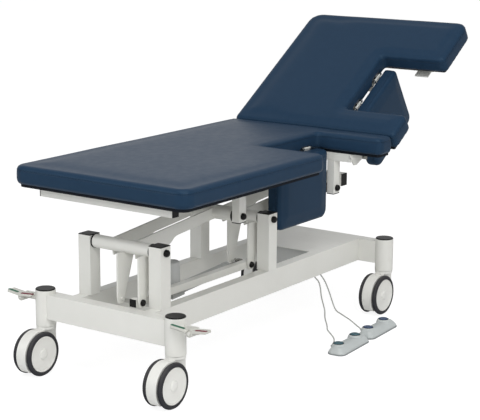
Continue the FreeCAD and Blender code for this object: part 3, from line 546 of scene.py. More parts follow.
@dataclass(frozen=True)
class Finish:
    """One finish of the table and how its material is made.

    Attributes:
        name: Name of the finish, and of the record's slot where it has one.
        colour: Base colour in linear light.
        second: Colour that the base drifts to.
        worn: Colour of worn edges.
        roughness: Mean roughness.
        metallic: 1 for bare metal.
        specular: Specular level of the shader.
        texture: Kind of surface.
        bump: Height of the surface in metres.
        wear: Amount of edge wear.
        edge: Radius of the softened edges in metres.
        dust: Amount of settled dust.
        coat: Weight of a clear coat.
        tint: Colour of the shader's highlights.
    """

    name: str
    colour: Colour
    second: Colour
    worn: Colour
    roughness: float
    metallic: float = 0.0
    specular: float = 0.5
    texture: Texture = Texture.SMOOTH
    bump: float = 0.00002
    wear: float = 0.4
    edge: float = 0.0015
    dust: float = 0.15
    coat: float = 0.0
    tint: Colour = (1.0, 1.0, 1.0)

    def build(self, effects: Effects) -> bpy.types.Material:
        """Make the node material of this finish.

        Args:
            effects: The shared shader groups.

        Returns:
            The new material.
        """
        material = bpy.data.materials.new(self.name)
        material.use_nodes = True
        tree = material.node_tree
        shader = tree.nodes["Principled BSDF"]
        for label, value in (
            ("Metallic", self.metallic), ("Specular IOR Level", self.specular),
            ("Specular Tint", (*self.tint, 1.0)), ("Coat Weight", self.coat),
            ("Coat Roughness", 0.25),
        ):
            shader.inputs[label].default_value = value
        if self.texture is Texture.PEBBLED:
            surface = add_node(tree, "ShaderNodeGroup", node_tree=effects.pebble)
        else:
            fine = COAT_GRAIN if self.texture is Texture.SMOOTH else MOULD_GRAIN
            surface = add_node(tree, "ShaderNodeGroup", {"Fine": fine}, node_tree=effects.grain)
        wear = add_node(tree, "ShaderNodeGroup", {"Radius": self.edge, "Amount": self.wear},
                        node_tree=effects.wear)
        dust = add_node(tree, "ShaderNodeGroup", {"Amount": self.dust}, node_tree=effects.dust)
        tone = self._mix(tree, self.colour, self.second, surface.outputs["Tone"])
        edged = self._mix(tree, tone, self.worn, wear.outputs["Mask"])
        dusty = self._mix(tree, edged, DUST, dust.outputs["Mask"])
        tree.links.new(dusty, shader.inputs["Base Color"])
        rough = add_node(tree, "ShaderNodeMapRange",
                         {"To Min": max(0.05, self.roughness - SMOOTHER),
                          "To Max": min(1.0, self.roughness + ROUGHER)})
        bump = add_node(tree, "ShaderNodeBump", {"Strength": 0.6, "Distance": self.bump})
        wire(
            tree,
            (surface, "Tone", rough, "Value"),
            (rough, "Result", shader, "Roughness"),
            (surface, "Height", bump, "Height"),
            (wear, "Normal", bump, "Normal"),
            (bump, "Normal", shader, "Normal"),
        )
        return material

    @staticmethod
    def _mix(
        tree: bpy.types.NodeTree,
        base: Colour | bpy.types.NodeSocket,
        over: Colour,
        mask: bpy.types.NodeSocket,
    ) -> bpy.types.NodeSocket:
        """Lay one colour over another by a mask.

        Args:
            tree: Material tree.
            base: Colour or socket underneath.
            over: Colour on top.
            mask: How much of the top colour shows.

        Returns:
            The socket with the mixed colour.
        """
        mix = tree.nodes.new("ShaderNodeMix")
        mix.data_type = "RGBA"
        if isinstance(base, tuple):
            mix.inputs[6].default_value = (*base, 1.0)
        else:
            tree.links.new(base, mix.inputs[6])
        mix.inputs[7].default_value = (*over, 1.0)
        tree.links.new(mask, mix.inputs[0])
        return mix.outputs[2]


FINISHES = (
    Finish("frame_paint", srgb(231, 231, 226), srgb(225, 225, 219),
           srgb(176, 174, 168), 0.36, wear=0.3, edge=0.002, coat=0.15),
    Finish("vinyl", srgb(32, 53, 75), srgb(36, 58, 81), srgb(50, 72, 98), 0.34,
           specular=0.13, texture=Texture.PEBBLED, bump=0.00009, wear=0.12,
           edge=0.003, dust=0.0, tint=(0.64, 0.88, 1.0)),
    Finish("board", srgb(17, 22, 30), srgb(24, 29, 37), srgb(50, 50, 50), 0.8, specular=0.2,
           texture=Texture.MOULDED, bump=0.00006, dust=0.1),
    Finish("painted_board", srgb(206, 207, 202), srgb(196, 197, 192),
           srgb(150, 148, 142), 0.5, wear=0.3, edge=0.0015),
    Finish("black_plastic", srgb(11, 11, 12), srgb(16, 16, 17), srgb(40, 40, 42),
           0.42, specular=0.25, texture=Texture.MOULDED, bump=0.00004,
           wear=0.12, dust=0.03),
    Finish("white_plastic", srgb(238, 238, 234), srgb(232, 232, 227),
           srgb(205, 204, 198), 0.42, texture=Texture.MOULDED, dust=0.3),
    Finish("wheel_disc", srgb(239, 239, 235), srgb(232, 232, 227),
           srgb(202, 201, 195), 0.4, texture=Texture.MOULDED, dust=0.35),
    Finish("tyre", srgb(32, 33, 41), srgb(40, 41, 49), srgb(66, 66, 72), 0.62,
           specular=0.3, texture=Texture.MOULDED, bump=0.00012, wear=0.3, dust=0.35),
    Finish("steel", srgb(186, 186, 182), srgb(170, 170, 166), srgb(214, 214, 210), 0.3,
           metallic=1.0, wear=0.2, dust=0.1),
    Finish("actuator_grey", srgb(186, 188, 187), srgb(174, 176, 176),
           srgb(150, 151, 151), 0.5, texture=Texture.MOULDED, bump=0.00005),
    Finish("sole_grey", srgb(144, 149, 150), srgb(132, 138, 140),
           srgb(140, 143, 144), 0.7, texture=Texture.MOULDED, bump=0.00008),
    Finish("switch_shell", srgb(200, 206, 206), srgb(190, 197, 198),
           srgb(214, 217, 215), 0.5, texture=Texture.MOULDED, bump=0.00006,
           dust=0.2),
    Finish("button_teal", srgb(34, 84, 98), srgb(44, 96, 108),
           srgb(110, 150, 156), 0.5, texture=Texture.MOULDED),
    Finish("button_blue", srgb(48, 72, 108), srgb(58, 84, 118),
           srgb(126, 148, 170), 0.5, texture=Texture.MOULDED),
    Finish("cord_grey", srgb(196, 198, 194), srgb(184, 186, 182),
           srgb(206, 207, 203), 0.45, texture=Texture.MOULDED, wear=0.0),
    Finish("pedal_shell", srgb(208, 208, 201), srgb(198, 198, 191),
           srgb(170, 168, 160), 0.35, texture=Texture.MOULDED, dust=0.2),
    Finish("grip_green", srgb(48, 108, 84), srgb(56, 118, 92), srgb(110, 160, 130),
           0.55, texture=Texture.MOULDED, dust=0.2),
    Finish("grip_red", srgb(122, 40, 56), srgb(132, 48, 64), srgb(170, 96, 104),
           0.55, texture=Texture.MOULDED, dust=0.2),
    Finish("thread", srgb(36, 52, 76), srgb(44, 60, 84), srgb(60, 78, 100), 0.7,
           texture=Texture.MOULDED, wear=0.0, dust=0.0),
)


class Paintbox:
    """All materials of the table, built once and handed out by name."""

    def __init__(self, effects: Effects) -> None:
        """Build every finish."""
        self.materials = {finish.name: finish.build(effects) for finish in FINISHES}

    def __getitem__(self, name: str) -> bpy.types.Material:
        """Return one material by the finish's name."""
        return self.materials[name]

    def dress_nodes(self, frame: dict) -> None:
        """Give every CAD node the material of its record slot.
        """
        slots = {s["node"]: s["material_slot"] for s in frame["record"]["subparts"]}
        for name, node in frame["nodes"].items():
            finish = "pedal_shell" if name.startswith("brake_pedal") else slots[name]
            material = self[finish]
            if not node.material_slots:
                node.data.materials.append(material)
            for slot in node.material_slots:
                slot.material = material
        LOG.info("dressed %d CAD nodes", len(frame["nodes"]))


# Upholstery


class Stance(Enum):
    """How a pad that is drawn flat stands at rest."""

    FLAT = "seat"
    RAISED = "backrest"
    HANGING = "seat pad folded down"
    HANGING_RAISED = "backrest pad folded down"


@dataclass(frozen=True)
class TableLayout:
    """Sizes of the upholstery, as the part's source has them, in metres."""

    pad_half: float = 0.360
    pad_top: float = 0.702
    pad_thickness: float = 0.063
    seat_foot_x: float = -0.711
    hinge_x: float = 0.545
    hinge_z: float = 0.688
    half_gap: float = 0.0038
    back_length: float = 0.690
    rest_angle: float = 33.0
    notch_y: float = -0.091
    seat_notch: tuple[float, float] = (0.082, 0.448)
    back_notch: tuple[float, float] = (0.673, 0.991)
    seat_flap: tuple[float, float] = (0.118, 0.443)
    back_flap: tuple[float, float] = (0.678, 0.986)
    flap_inner_y: float = -0.098
    flap_outer_y: float = -0.356
    flap_thickness: float = 0.051
    flap_pin_y: float = -0.0925
    flap_pin_z: float = 0.650

    def place(self, stance: Stance) -> Matrix:
        """Give the matrix that carries a flat pad to its rest pose.

        Args:
            stance: How the pad stands.

        Returns:
            The matrix.
        """
        result = Matrix.Identity(4)
        if stance in (Stance.HANGING, Stance.HANGING_RAISED):
            pin = Vector((0, self.flap_pin_y, self.flap_pin_z))
            turn = Matrix.Rotation(math.radians(90), 4, "X")
            result = Matrix.Translation(pin) @ turn @ Matrix.Translation(-pin)
        if stance in (Stance.RAISED, Stance.HANGING_RAISED):
            pin = Vector((self.hinge_x, 0, self.hinge_z))
            turn = Matrix.Rotation(math.radians(-self.rest_angle), 4, "Y")
            result = Matrix.Translation(pin) @ turn @ Matrix.Translation(-pin) @ result
        return result


@dataclass(frozen=True)
class PadPlan:
    """One upholstered pad: which node it stands for and how it is sewn.

    Attributes:
        name: Name of the piece.
        node: CAD node that it replaces.
        body: Body that it rides on.
        stance: How it stands at rest.
        corners: Plan outline, flat, as x and y.
        radii: Radius at each corner.
        bottom: Height of its underside when flat.
        voxel: Size of the cloth's cells.
        swell: Furthest that a point may move.
    """

    name: str
    node: str
    body: str
    stance: Stance
    corners: Outline
    radii: tuple[float, ...]
    bottom: float
    voxel: float
    swell: float


def rounded_path(
    corners: Sequence[tuple[float, float]], radii: Sequence[float], step: float
) -> list[tuple[Vector, Vector]]:
    """Walk round an outline with rounded corners.

    Args:
        corners: Outline in order, anticlockwise or not.
        radii: Radius at each corner.
        step: Distance between points.

    Returns:
        Points with their outward directions, both flat, and the first one again at the end.
    """
    shape: list[Vector] = []
    count = len(corners)
    area = sum(
        corners[k][0] * corners[(k + 1) % count][1] - corners[(k + 1) % count][0] * corners[k][1]
        for k in range(count)
    )
    for index in range(count):
        here = Vector((*corners[index], 0))
        before = (Vector((*corners[index - 1], 0)) - here).normalized()
        after = (Vector((*corners[(index + 1) % count], 0)) - here).normalized()
        half = before.angle(after) / 2
        radius = radii[index]
        centre = here + (before + after).normalized() * (radius / math.sin(half))
        start = here + before * (radius / math.tan(half))
        end = here + after * (radius / math.tan(half))
        for k in range(ARC_STEPS + 1):
            share = k / ARC_STEPS
            spoke = (start - centre).normalized().slerp((end - centre).normalized(), share)
            shape.append(centre + spoke * radius)
    shape.append(shape[0].copy())
    spots: list[Vector] = []
    left = 0.0
    for a, b in zip(shape, shape[1:]):
        run = (b - a).length
        while left < run:
            spots.append(a.lerp(b, left / run))
            left += step
        left -= run
    result = []
    for k, spot in enumerate(spots):
        along = spots[(k + 1) % len(spots)] - spots[k - 1]
        out = Vector((along.y, -along.x, 0)).normalized() * (1 if area > 0 else -1)
        result.append((spot, out))
    result.append(result[0])
    return result


@dataclass
class Upholstery:
    """The seat, the backrest and the two fold-down pads, with their seams and stitches.

    Attributes:
        paints: The materials.
        repeater: Lays the stitches.
        layout: Sizes of the upholstery.
        seam_drop: Depth of the seam under the pad's top.
        stitch_drop: Depth of the stitches under the seam.
        stitch_spacing: Distance between stitches.
        seam_radius: Radius of the seam's bead.
        inset: How far a cover is drawn in before it swells and let out after.
        held_height: Height above the underside up to which a cover is held.
        frames: Steps of the cloth simulation.
        calm_rounds: Rounds of evening out the cover's moves.
        edge_give: Share of its swell that a cover keeps at the pad's edge.
        give_reach: Distance from the edge at which it keeps all of it.
        seam_reach: Half width of the pull at the seam, upwards.
        wall: Distance from the outline within which the seam pulls.
        unevenness: Height of the foam's slow waves.
        pull: Mean depth of the pull at the seam.
        pull_change: How much that depth changes along the seam.
        give_step: Distance between the outline's points that tell a pad's edge.
        pull_step: Distance between the points that tell where the seam pulls.
        seam_step: Distance between the seam's points.
        probe: How far outside the outline the seam's rays start.
        cloth_mass: Mass of each of the cloth's points in kilograms.
        pressure: Pressure inside the cloth.
    """

    paints: Paintbox
    repeater: PathRepeater
    layout: TableLayout = field(default_factory=TableLayout)
    seam_drop: float = 0.015
    stitch_drop: float = 0.004
    stitch_spacing: float = 0.006
    seam_radius: float = 0.0010
    inset: float = 0.003
    held_height: float = 0.008
    frames: int = 20
    calm_rounds: int = 24
    edge_give: float = 0.2
    give_reach: float = 0.05
    seam_reach: float = 0.0045
    wall: float = 0.012
    unevenness: float = 0.0004
    pull: float = 0.0016
    pull_change: float = 0.0005
    give_step: float = 0.012
    pull_step: float = 0.008
    seam_step: float = 0.004
    probe: float = 0.03
    cloth_mass: float = 0.3
    pressure: float = 4.0

    def plans(self) -> list[PadPlan]:
        """List the four pads."""
        lay = self.layout
        half = lay.pad_half
        low = lay.pad_top - lay.pad_thickness

        def notched(x0: float, x1: float, notch: tuple[float, float]) -> Outline:
            """Outline of a pad with a notch in its near side."""
            return ((x0, half), (x0, -half), (notch[0], -half), (notch[0], lay.notch_y),
                    (notch[1], lay.notch_y), (notch[1], -half), (x1, -half), (x1, half))

        def panel(ends: tuple[float, float]) -> Outline:
            """Outline of a fold-down pad."""
            return ((ends[0], lay.flap_inner_y), (ends[0], lay.flap_outer_y),
                    (ends[1], lay.flap_outer_y), (ends[1], lay.flap_inner_y))

        seat = notched(lay.seat_foot_x, lay.hinge_x - lay.half_gap, lay.seat_notch)
        back = notched(lay.hinge_x + lay.half_gap, lay.hinge_x + lay.back_length, lay.back_notch)
        small = (0.016, 0.034, 0.034, 0.016)
        flap_low = lay.pad_top - lay.flap_thickness
        return [
            PadPlan("seat_upholstery", "seat_cushion", "top", Stance.FLAT, seat,
                    (0.045, 0.045, 0.024, 0.012, 0.012, 0.024, 0.016, 0.016), low, 0.009, 0.006),
            PadPlan("backrest_upholstery", "backrest_cushion", "backrest", Stance.RAISED, back,
                    (0.016, 0.016, 0.024, 0.012, 0.012, 0.024, 0.045, 0.055), low, 0.0085, 0.006),
            PadPlan("seat_fold_pad", "seat_flap_pad", "seat_flap", Stance.HANGING,
                    panel(lay.seat_flap), small, flap_low, 0.006, 0.005),
            PadPlan("backrest_fold_pad", "backrest_flap_pad", "backrest_flap",
                    Stance.HANGING_RAISED, panel(lay.back_flap), small, flap_low, 0.006, 0.005),
        ]

    def build(self, frame: dict) -> None:
        """Make all pads.
        """
        for plan in self.plans():
            pad = self._stuffed(plan, frame["nodes"][plan.node])
            settle(pad, plan.body, plan.node)
            self._sew(plan, pad)
            LOG.info("upholstered %s", plan.name)

    def _stuffed(self, plan: PadPlan, node: bpy.types.Object) -> bpy.types.Object:
        """Swell a pad's CAD solid into a stuffed form.

        Args:
            plan: The pad.
            node: Its CAD node.

        Returns:
            The upholstered piece.
        """
        mesh = node.data.copy()
        work = bmesh.new()
        work.from_mesh(mesh)
        bmesh.ops.remove_doubles(work, verts=work.verts, dist=1e-5)
        work.to_mesh(mesh)
        work.free()
        pad = keep_mesh(plan.name, mesh, self.paints["vinyl"])
        remesh = pad.modifiers.new("cells", "REMESH")
        remesh.mode = "VOXEL"
        remesh.voxel_size = plan.voxel
        self._apply(pad)
        flat = self.layout.place(plan.stance)
        back = flat.inverted()
        normals = np.zeros(len(pad.data.vertices) * 3)
        pad.data.vertices.foreach_get("normal", normals)
        spots = self._points(pad) - normals.reshape(-1, 3) * self.inset
        local = self._moved(spots, back)
        pad.data.vertices.foreach_set("co", spots.ravel())
        held = local[:, 2] < plan.bottom + self.held_height
        shift = self._calmed(pad, self._swollen(pad, held) - spots, self.calm_rounds)
        size = np.linalg.norm(shift, axis=1, keepdims=True)
        cap = plan.swell
        shift *= np.where(size > 1e-9, cap * np.tanh(size / cap) / np.maximum(size, 1e-9), 0)
        spots = spots + shift * self._give(plan, local)
        spots = spots + normals.reshape(-1, 3) * self.inset
        spots = self._crowned(plan, spots, back, flat)
        pad.data.vertices.foreach_set("co", spots.ravel())
        smooth = pad.modifiers.new("round", "SUBSURF")
        smooth.levels = 1
        smooth.render_levels = 1
        self._apply(pad)
        pad.data.polygons.foreach_set("use_smooth", [True] * len(pad.data.polygons))
        return pad

    def _swollen(self, pad: bpy.types.Object, held: np.ndarray) -> np.ndarray:
        """Blow a cover up as cloth.

        Args:
            pad: The piece.
            held: Which of its points stay on the board.

        Returns:
            The swollen cover's points.
        """
        group = pad.vertex_groups.new(name="held")
        group.add([int(k) for k in np.nonzero(held)[0]], 1.0, "REPLACE")
        cloth = pad.modifiers.new("cover", "CLOTH")
        cloth.settings.quality = 4
        cloth.settings.mass = self.cloth_mass
        cloth.settings.use_pressure = True
        cloth.settings.uniform_pressure_force = self.pressure
        cloth.settings.effector_weights.gravity = 0.0
        cloth.settings.vertex_group_mass = "held"
        cloth.point_cache.frame_start = 1
        cloth.point_cache.frame_end = self.frames
        for number in range(1, self.frames + 1):
            bpy.context.scene.frame_set(number)
        view = bpy.context.evaluated_depsgraph_get()
        swollen = self._points(pad.evaluated_get(view))
        pad.modifiers.clear()
        bpy.context.scene.frame_set(1)
        return swollen

    @staticmethod
    def _calmed(pad: bpy.types.Object, shift: np.ndarray, rounds: int) -> np.ndarray:
        """Even out how far neighbouring points of a cover move.

        Args:
            pad: The piece, for its edges.
            shift: Move of each point.
            rounds: How often each point takes its neighbours' mean.

        Returns:
            The evened moves.
        """
        ends = np.zeros(len(pad.data.edges) * 2, int)
        pad.data.edges.foreach_get("vertices", ends)
        low, high = ends.reshape(-1, 2).T
        count = np.bincount(ends, minlength=len(shift))[:, None] + 1.0
        for _ in range(rounds):
            total = shift.copy()
            np.add.at(total, low, shift[high])
            np.add.at(total, high, shift[low])
            shift = total / count
        return shift

    @staticmethod
    def _nearest(local: np.ndarray, line: np.ndarray) -> tuple[np.ndarray, np.ndarray]:
        """Find the point of a line that is nearest to each point, seen from above.

        Args:
            local: Points.
            line: The line's points, flat.

        Returns:
            Its number and its distance, for each point.
        """
        chunk = 4000
        closest = np.zeros(len(local), int)
        reach = np.zeros(len(local))
        for low in range(0, len(local), chunk):
            part = local[low:low + chunk, None, :2]
            gap = ((part - line[None, :, :]) ** 2).sum(2)
            closest[low:low + chunk] = gap.argmin(1)
            reach[low:low + chunk] = np.sqrt(gap.min(1))
        return closest, reach

    def _give(self, plan: PadPlan, local: np.ndarray) -> np.ndarray:
        """Say how much of its swell each point keeps: the foam holds the pad's edges.

        Args:
            plan: The pad.
            local: Its points, laid flat.

        Returns:
            A share for each point, 1 in the middle of the cover.
        """
        outline = rounded_path(plan.corners, plan.radii, self.give_step)
        line = np.array([[p.x, p.y] for p, _ in outline])
        _, reach = self._nearest(local, line)
        rise = np.clip(reach / self.give_reach, 0.0, 1.0) ** 1.5
        return (self.edge_give + (1.0 - self.edge_give) * rise)[:, None]

    def _crowned(
        self, plan: PadPlan, spots: np.ndarray, back: Matrix, flat: Matrix
    ) -> np.ndarray:
        """Pull the cover in along its seam and add slow unevenness of the foam.

        Args:
            plan: The pad.
            spots: Its points at rest.
            back: Matrix from rest to flat.
            flat: Matrix from flat to rest.

        Returns:
            The new points at rest.
        """
        local = self._moved(spots, back)
        seam = self.layout.pad_top - self.seam_drop
        near = np.exp(-(((local[:, 2] - seam) / self.seam_reach) ** 2))
        outline = rounded_path(plan.corners, plan.radii, self.pull_step)
        line = np.array([[p.x, p.y] for p, _ in outline])
        outward = np.array([[d.x, d.y] for _, d in outline])
        closest, reach = self._nearest(local, line)
        wall = np.clip(1.0 - reach / self.wall, 0.0, 1.0)
        run = closest * self.pull_step
        ripple = np.sin(run / 0.021) * np.sin(run / 0.0133 + 1.0)
        pucker = self.pull + self.pull_change * ripple
        local[:, :2] -= outward[closest] * (near * wall * pucker)[:, None]
        x, y = local[:, 0], local[:, 1]
        wave = np.sin(x * 9.0 + 1.3) * np.sin(y * 11.0 + 0.4)
        wave = wave + 0.4 * np.sin(x * 17.0) * np.sin(y * 23.0)
        top = np.clip((local[:, 2] - plan.bottom) / (self.layout.pad_top - plan.bottom), 0, 1)
        local[:, 2] += top * self.unevenness * wave
        return self._moved(local, flat)

    def _sew(self, plan: PadPlan, pad: bpy.types.Object) -> None:
        """Lay the seam round a pad and its stitches on it.

        Args:
            plan: The pad.
            pad: The upholstered piece.
        """
        flat = self.layout.place(plan.stance)
        turn = flat.to_3x3()
        tree = BVHTree.FromPolygons(
            [v.co for v in pad.data.vertices], [p.vertices for p in pad.data.polygons]
        )
        seam: list[Vector] = []
        stitches: list[Vector] = []
        height = self.layout.pad_top - self.seam_drop
        for spot, out in rounded_path(plan.corners, plan.radii, self.seam_step):
            way = turn @ out
            for drop, line in ((0.0, seam), (self.stitch_drop, stitches)):
                begin = flat @ Vector((spot.x, spot.y, height - drop)) + way * self.probe
                hit = tree.ray_cast(begin, -way, 2 * self.probe)[0]
                if hit is not None:
                    line.append(hit)
        settle(self._bead(plan.name + "_seam", seam), plan.body)
        item = small_item("stitch", [(0.0, -0.0019), (0.00045, -0.0014), (0.00045, 0.0014),
                                     (0.0, 0.0019)])
        row = self.repeater.lay(plan.name + "_stitches", [stitches], self.stitch_spacing, item,
                                self.paints["thread"])
        settle(row, plan.body)

    def _bead(self, name: str, line: Sequence[Vector]) -> bpy.types.Object:
        """Make a thin closed bead along a line.

        Args:
            name: Name of the piece.
            line: Points of the seam, the first one again at the end.

        Returns:
            The bead.
        """

        def fill(work: bmesh.types.BMesh) -> None:
            """Sweep a ring of points along the line."""
            rings = []
            points = list(line[:-1])
            for k, spot in enumerate(points):
                along = (points[(k + 1) % len(points)] - points[k - 1]).normalized()
                side = along.orthogonal().normalized()
                if abs(along.z) < 0.95:
                    side = along.cross(Vector((0, 0, 1))).normalized()
                up = along.cross(side)
                ring = []
                for turn in range(6):
                    angle = math.pi * turn / 3
                    reach = side * math.cos(angle) + up * math.sin(angle)
                    ring.append(work.verts.new(spot + reach * self.seam_radius))
                rings.append(ring)
            for k, ring in enumerate(rings):
                after = rings[(k + 1) % len(rings)]
                for turn in range(6):
                    nxt = (turn + 1) % 6
                    work.faces.new((ring[turn], ring[nxt], after[nxt], after[turn]))

        return mesh_from(name, fill, self.paints["vinyl"], 80.0)

    @staticmethod
    def _apply(piece: bpy.types.Object) -> None:
        """Turn a piece's modifiers into its mesh."""
        view = bpy.context.evaluated_depsgraph_get()
        mesh = bpy.data.meshes.new_from_object(piece.evaluated_get(view))
        piece.modifiers.clear()
        piece.data = mesh

    @staticmethod
    def _points(piece: bpy.types.Object) -> np.ndarray:
        """Read a piece's points as an array."""
        spots = np.zeros(len(piece.data.vertices) * 3)
        piece.data.vertices.foreach_get("co", spots)
        return spots.reshape(-1, 3)

    @staticmethod
    def _moved(spots: np.ndarray, matrix: Matrix) -> np.ndarray:
        """Carry points through a matrix."""
        grid = np.array(matrix)
        return spots @ grid[:3, :3].T + grid[:3, 3]


# Wheels


@dataclass
class TwinCaster:
    """One twin-wheel caster: turned tyres and discs over the CAD wheels.

    Attributes:
        paints: The materials.
        name: Which end and side of the table.
        place: X and Y of the swivel axis.
        radius: Outer radius of the tyre.
        tyre_depth: From the disc's rim to the tyre's tread.
        width: Width of one wheel.
        inner: From the caster's middle to the wheel's inner face.
        trail: From the swivel axis back to the axle.
    """

    paints: Paintbox
    name: str
    place: tuple[float, float]
    radius: float = 0.075
    tyre_depth: float = 0.014
    width: float = 0.016
    inner: float = 0.021
    trail: float = 0.052

    def build(self) -> None:
        """Make both wheels and their tyres."""
        x, y = self.place
        for tag, slot, node, profile, segments in (
            ("discs", "wheel_disc", "wheels", self._disc_profile(), 64),
            ("treads", "tyre", "tyres", self._tyre_profile(), 96),
        ):

            def pair(work: bmesh.types.BMesh) -> None:
                """Turn the profile once for each wheel."""
                for side in (-1, 1):
                    centre = Vector((x - self.trail, y, self.radius))
                    hub = axis_frame(centre, Vector((0, side, 0)))
                    add_lathe(work, profile, hub, segments)

            piece = mesh_from("caster_%s_%s" % (self.name, tag), pair, self.paints[slot], 30.0)
            settle(piece, "wheels_" + self.name, "caster_%s_%s" % (self.name, node))
        LOG.info("turned caster %s", self.name)

    def _disc_profile(self) -> Profile:
        """Section of a wheel disc with its rim, dish and hub cap, from axle to axle."""
        rim = self.radius - self.tyre_depth
        face = self.inner + self.width
        return [(0.0, self.inner - 0.006), (0.009, self.inner - 0.006), (0.009, self.inner),
                (rim - 0.004, self.inner), (rim, self.inner + 0.003), (rim, face - 0.003),
                (rim - 0.0012, face - 0.0008), (rim - 0.003, face), (rim - 0.006, face - 0.0004),
                (rim - 0.0075, face - 0.0022), (rim - 0.012, face - 0.0030),
                (0.026, face - 0.0042), (0.019, face - 0.0040), (0.0172, face - 0.0026),
                (0.0165, face - 0.0008), (0.0150, face), (0.008, face + 0.0006),
                (0.0, face + 0.0008)]

    def _tyre_profile(self) -> Profile:
        """Closed section of a tyre with a softened shoulder and two tread lines."""
        rim = self.radius - self.tyre_depth - 0.0002
        low = self.inner
        high = self.inner + self.width
        r = self.radius
        points = [(rim, low + 0.0005), (rim + 0.004, low), (r - 0.006, low + 0.0006),
                  (r - 0.0025, low + 0.0026), (r - 0.0006, low + 0.006)]
        middle = low + self.width / 2
        points += [(r - 0.0001, middle - 0.0012), (r - 0.0010, middle - 0.0006),
                   (r - 0.0010, middle + 0.0006), (r - 0.0001, middle + 0.0012)]
        points += [(r - 0.0006, high - 0.006), (r - 0.0025, high - 0.0026),
                   (r - 0.006, high - 0.0006), (rim + 0.004, high), (rim, high - 0.0005),
                   (rim, low + 0.0005)]
        return points


# Pedals and foot switches


@dataclass
class BrakePedal:
    """Front wing and coloured ribs of a two-ended brake pedal.

    Attributes:
        paints: The materials.
        repeater: Lays the ribs.
        name: The pedal's side of the table.
        side: -1 for the near pedal and 1 for the far one.
        front: X of the wing's back face.
        wing_depth: Depth of the wing along X.
        wing_ends: Inner and outer end of the wing, from the table's middle.
        wing_heights: Lowest and highest point of the wing.
        lock_ends: Inner and outer end of the outer strip.
        lock_heights: Height of the outer strip at both ends.
        rib_spacing: Distance between ribs along a strip.
        row_gap: Distance between a strip's three rows.
    """

    paints: Paintbox
    repeater: PathRepeater
    name: str
    side: int
    front: float = -0.686
    wing_depth: float = 0.015
    wing_ends: tuple[float, float] = (0.289, 0.350)
    wing_heights: tuple[float, float] = (0.2555, 0.2705)
    lock_ends: tuple[float, float] = (0.374, 0.411)
    lock_heights: tuple[float, float] = (0.2615, 0.2655)
    rib_spacing: float = 0.0046
    row_gap: float = 0.0032

    def build(self) -> None:
        """Make the wing that passes in front of the stem, and both coloured strips."""
        body = "pedal_" + self.name
        near, far = self.wing_ends
        low, high = self.wing_heights
        face = self.front - self.wing_depth

        def wing(work: bmesh.types.BMesh) -> None:
            """Join two upright end faces and round every edge."""
            spots = []
            for y, bottom, top in ((near, low + 0.004, high - 0.001),
                                   (far, low - 0.002, high - 0.006)):
                for x in (face, self.front):
                    for z in (bottom, top):
                        spots.append(work.verts.new((x, self.side * y, z)))
            a, b, c, d, e, f, g, h = spots
            for ring in ((a, b, d, c), (e, f, h, g), (a, b, f, e), (c, d, h, g), (a, c, g, e),
                         (b, d, h, f)):
                work.faces.new(ring)
            bmesh.ops.bevel(work, geom=work.edges[:], offset=0.0028, segments=3,
                            affect="EDGES", profile=0.6)

        piece = mesh_from("pedal_%s_wing" % self.name, wing, self.paints["pedal_shell"])
        settle(piece, body)
        rib = small_item("grip", [(0.0, -0.0026), (0.0016, -0.0022), (0.0016, 0.0022),
                                  (0.0, 0.0026)])
        colours = ("grip_green", "grip_red")[::-self.side]
        strips = (
            ("release", colours[0], face + 0.0045, (near + 0.003, high - 0.0004),
             (far - 0.012, high - 0.0038)),
            ("lock", colours[1], self.front + 0.006, (self.lock_ends[0], self.lock_heights[0]),
             (self.lock_ends[1], self.lock_heights[1])),
        )
        for tag, colour, x, start, end in strips:
            lines = [[Vector((x + row * self.row_gap, self.side * y, z)) for y, z in (start, end)]
                     for row in range(3)]
            strip = self.repeater.lay("pedal_%s_%s_grip" % (self.name, tag), lines,
                                      self.rib_spacing, rib, self.paints[colour])
            settle(strip, body)
        LOG.info("finished pedal %s", self.name)


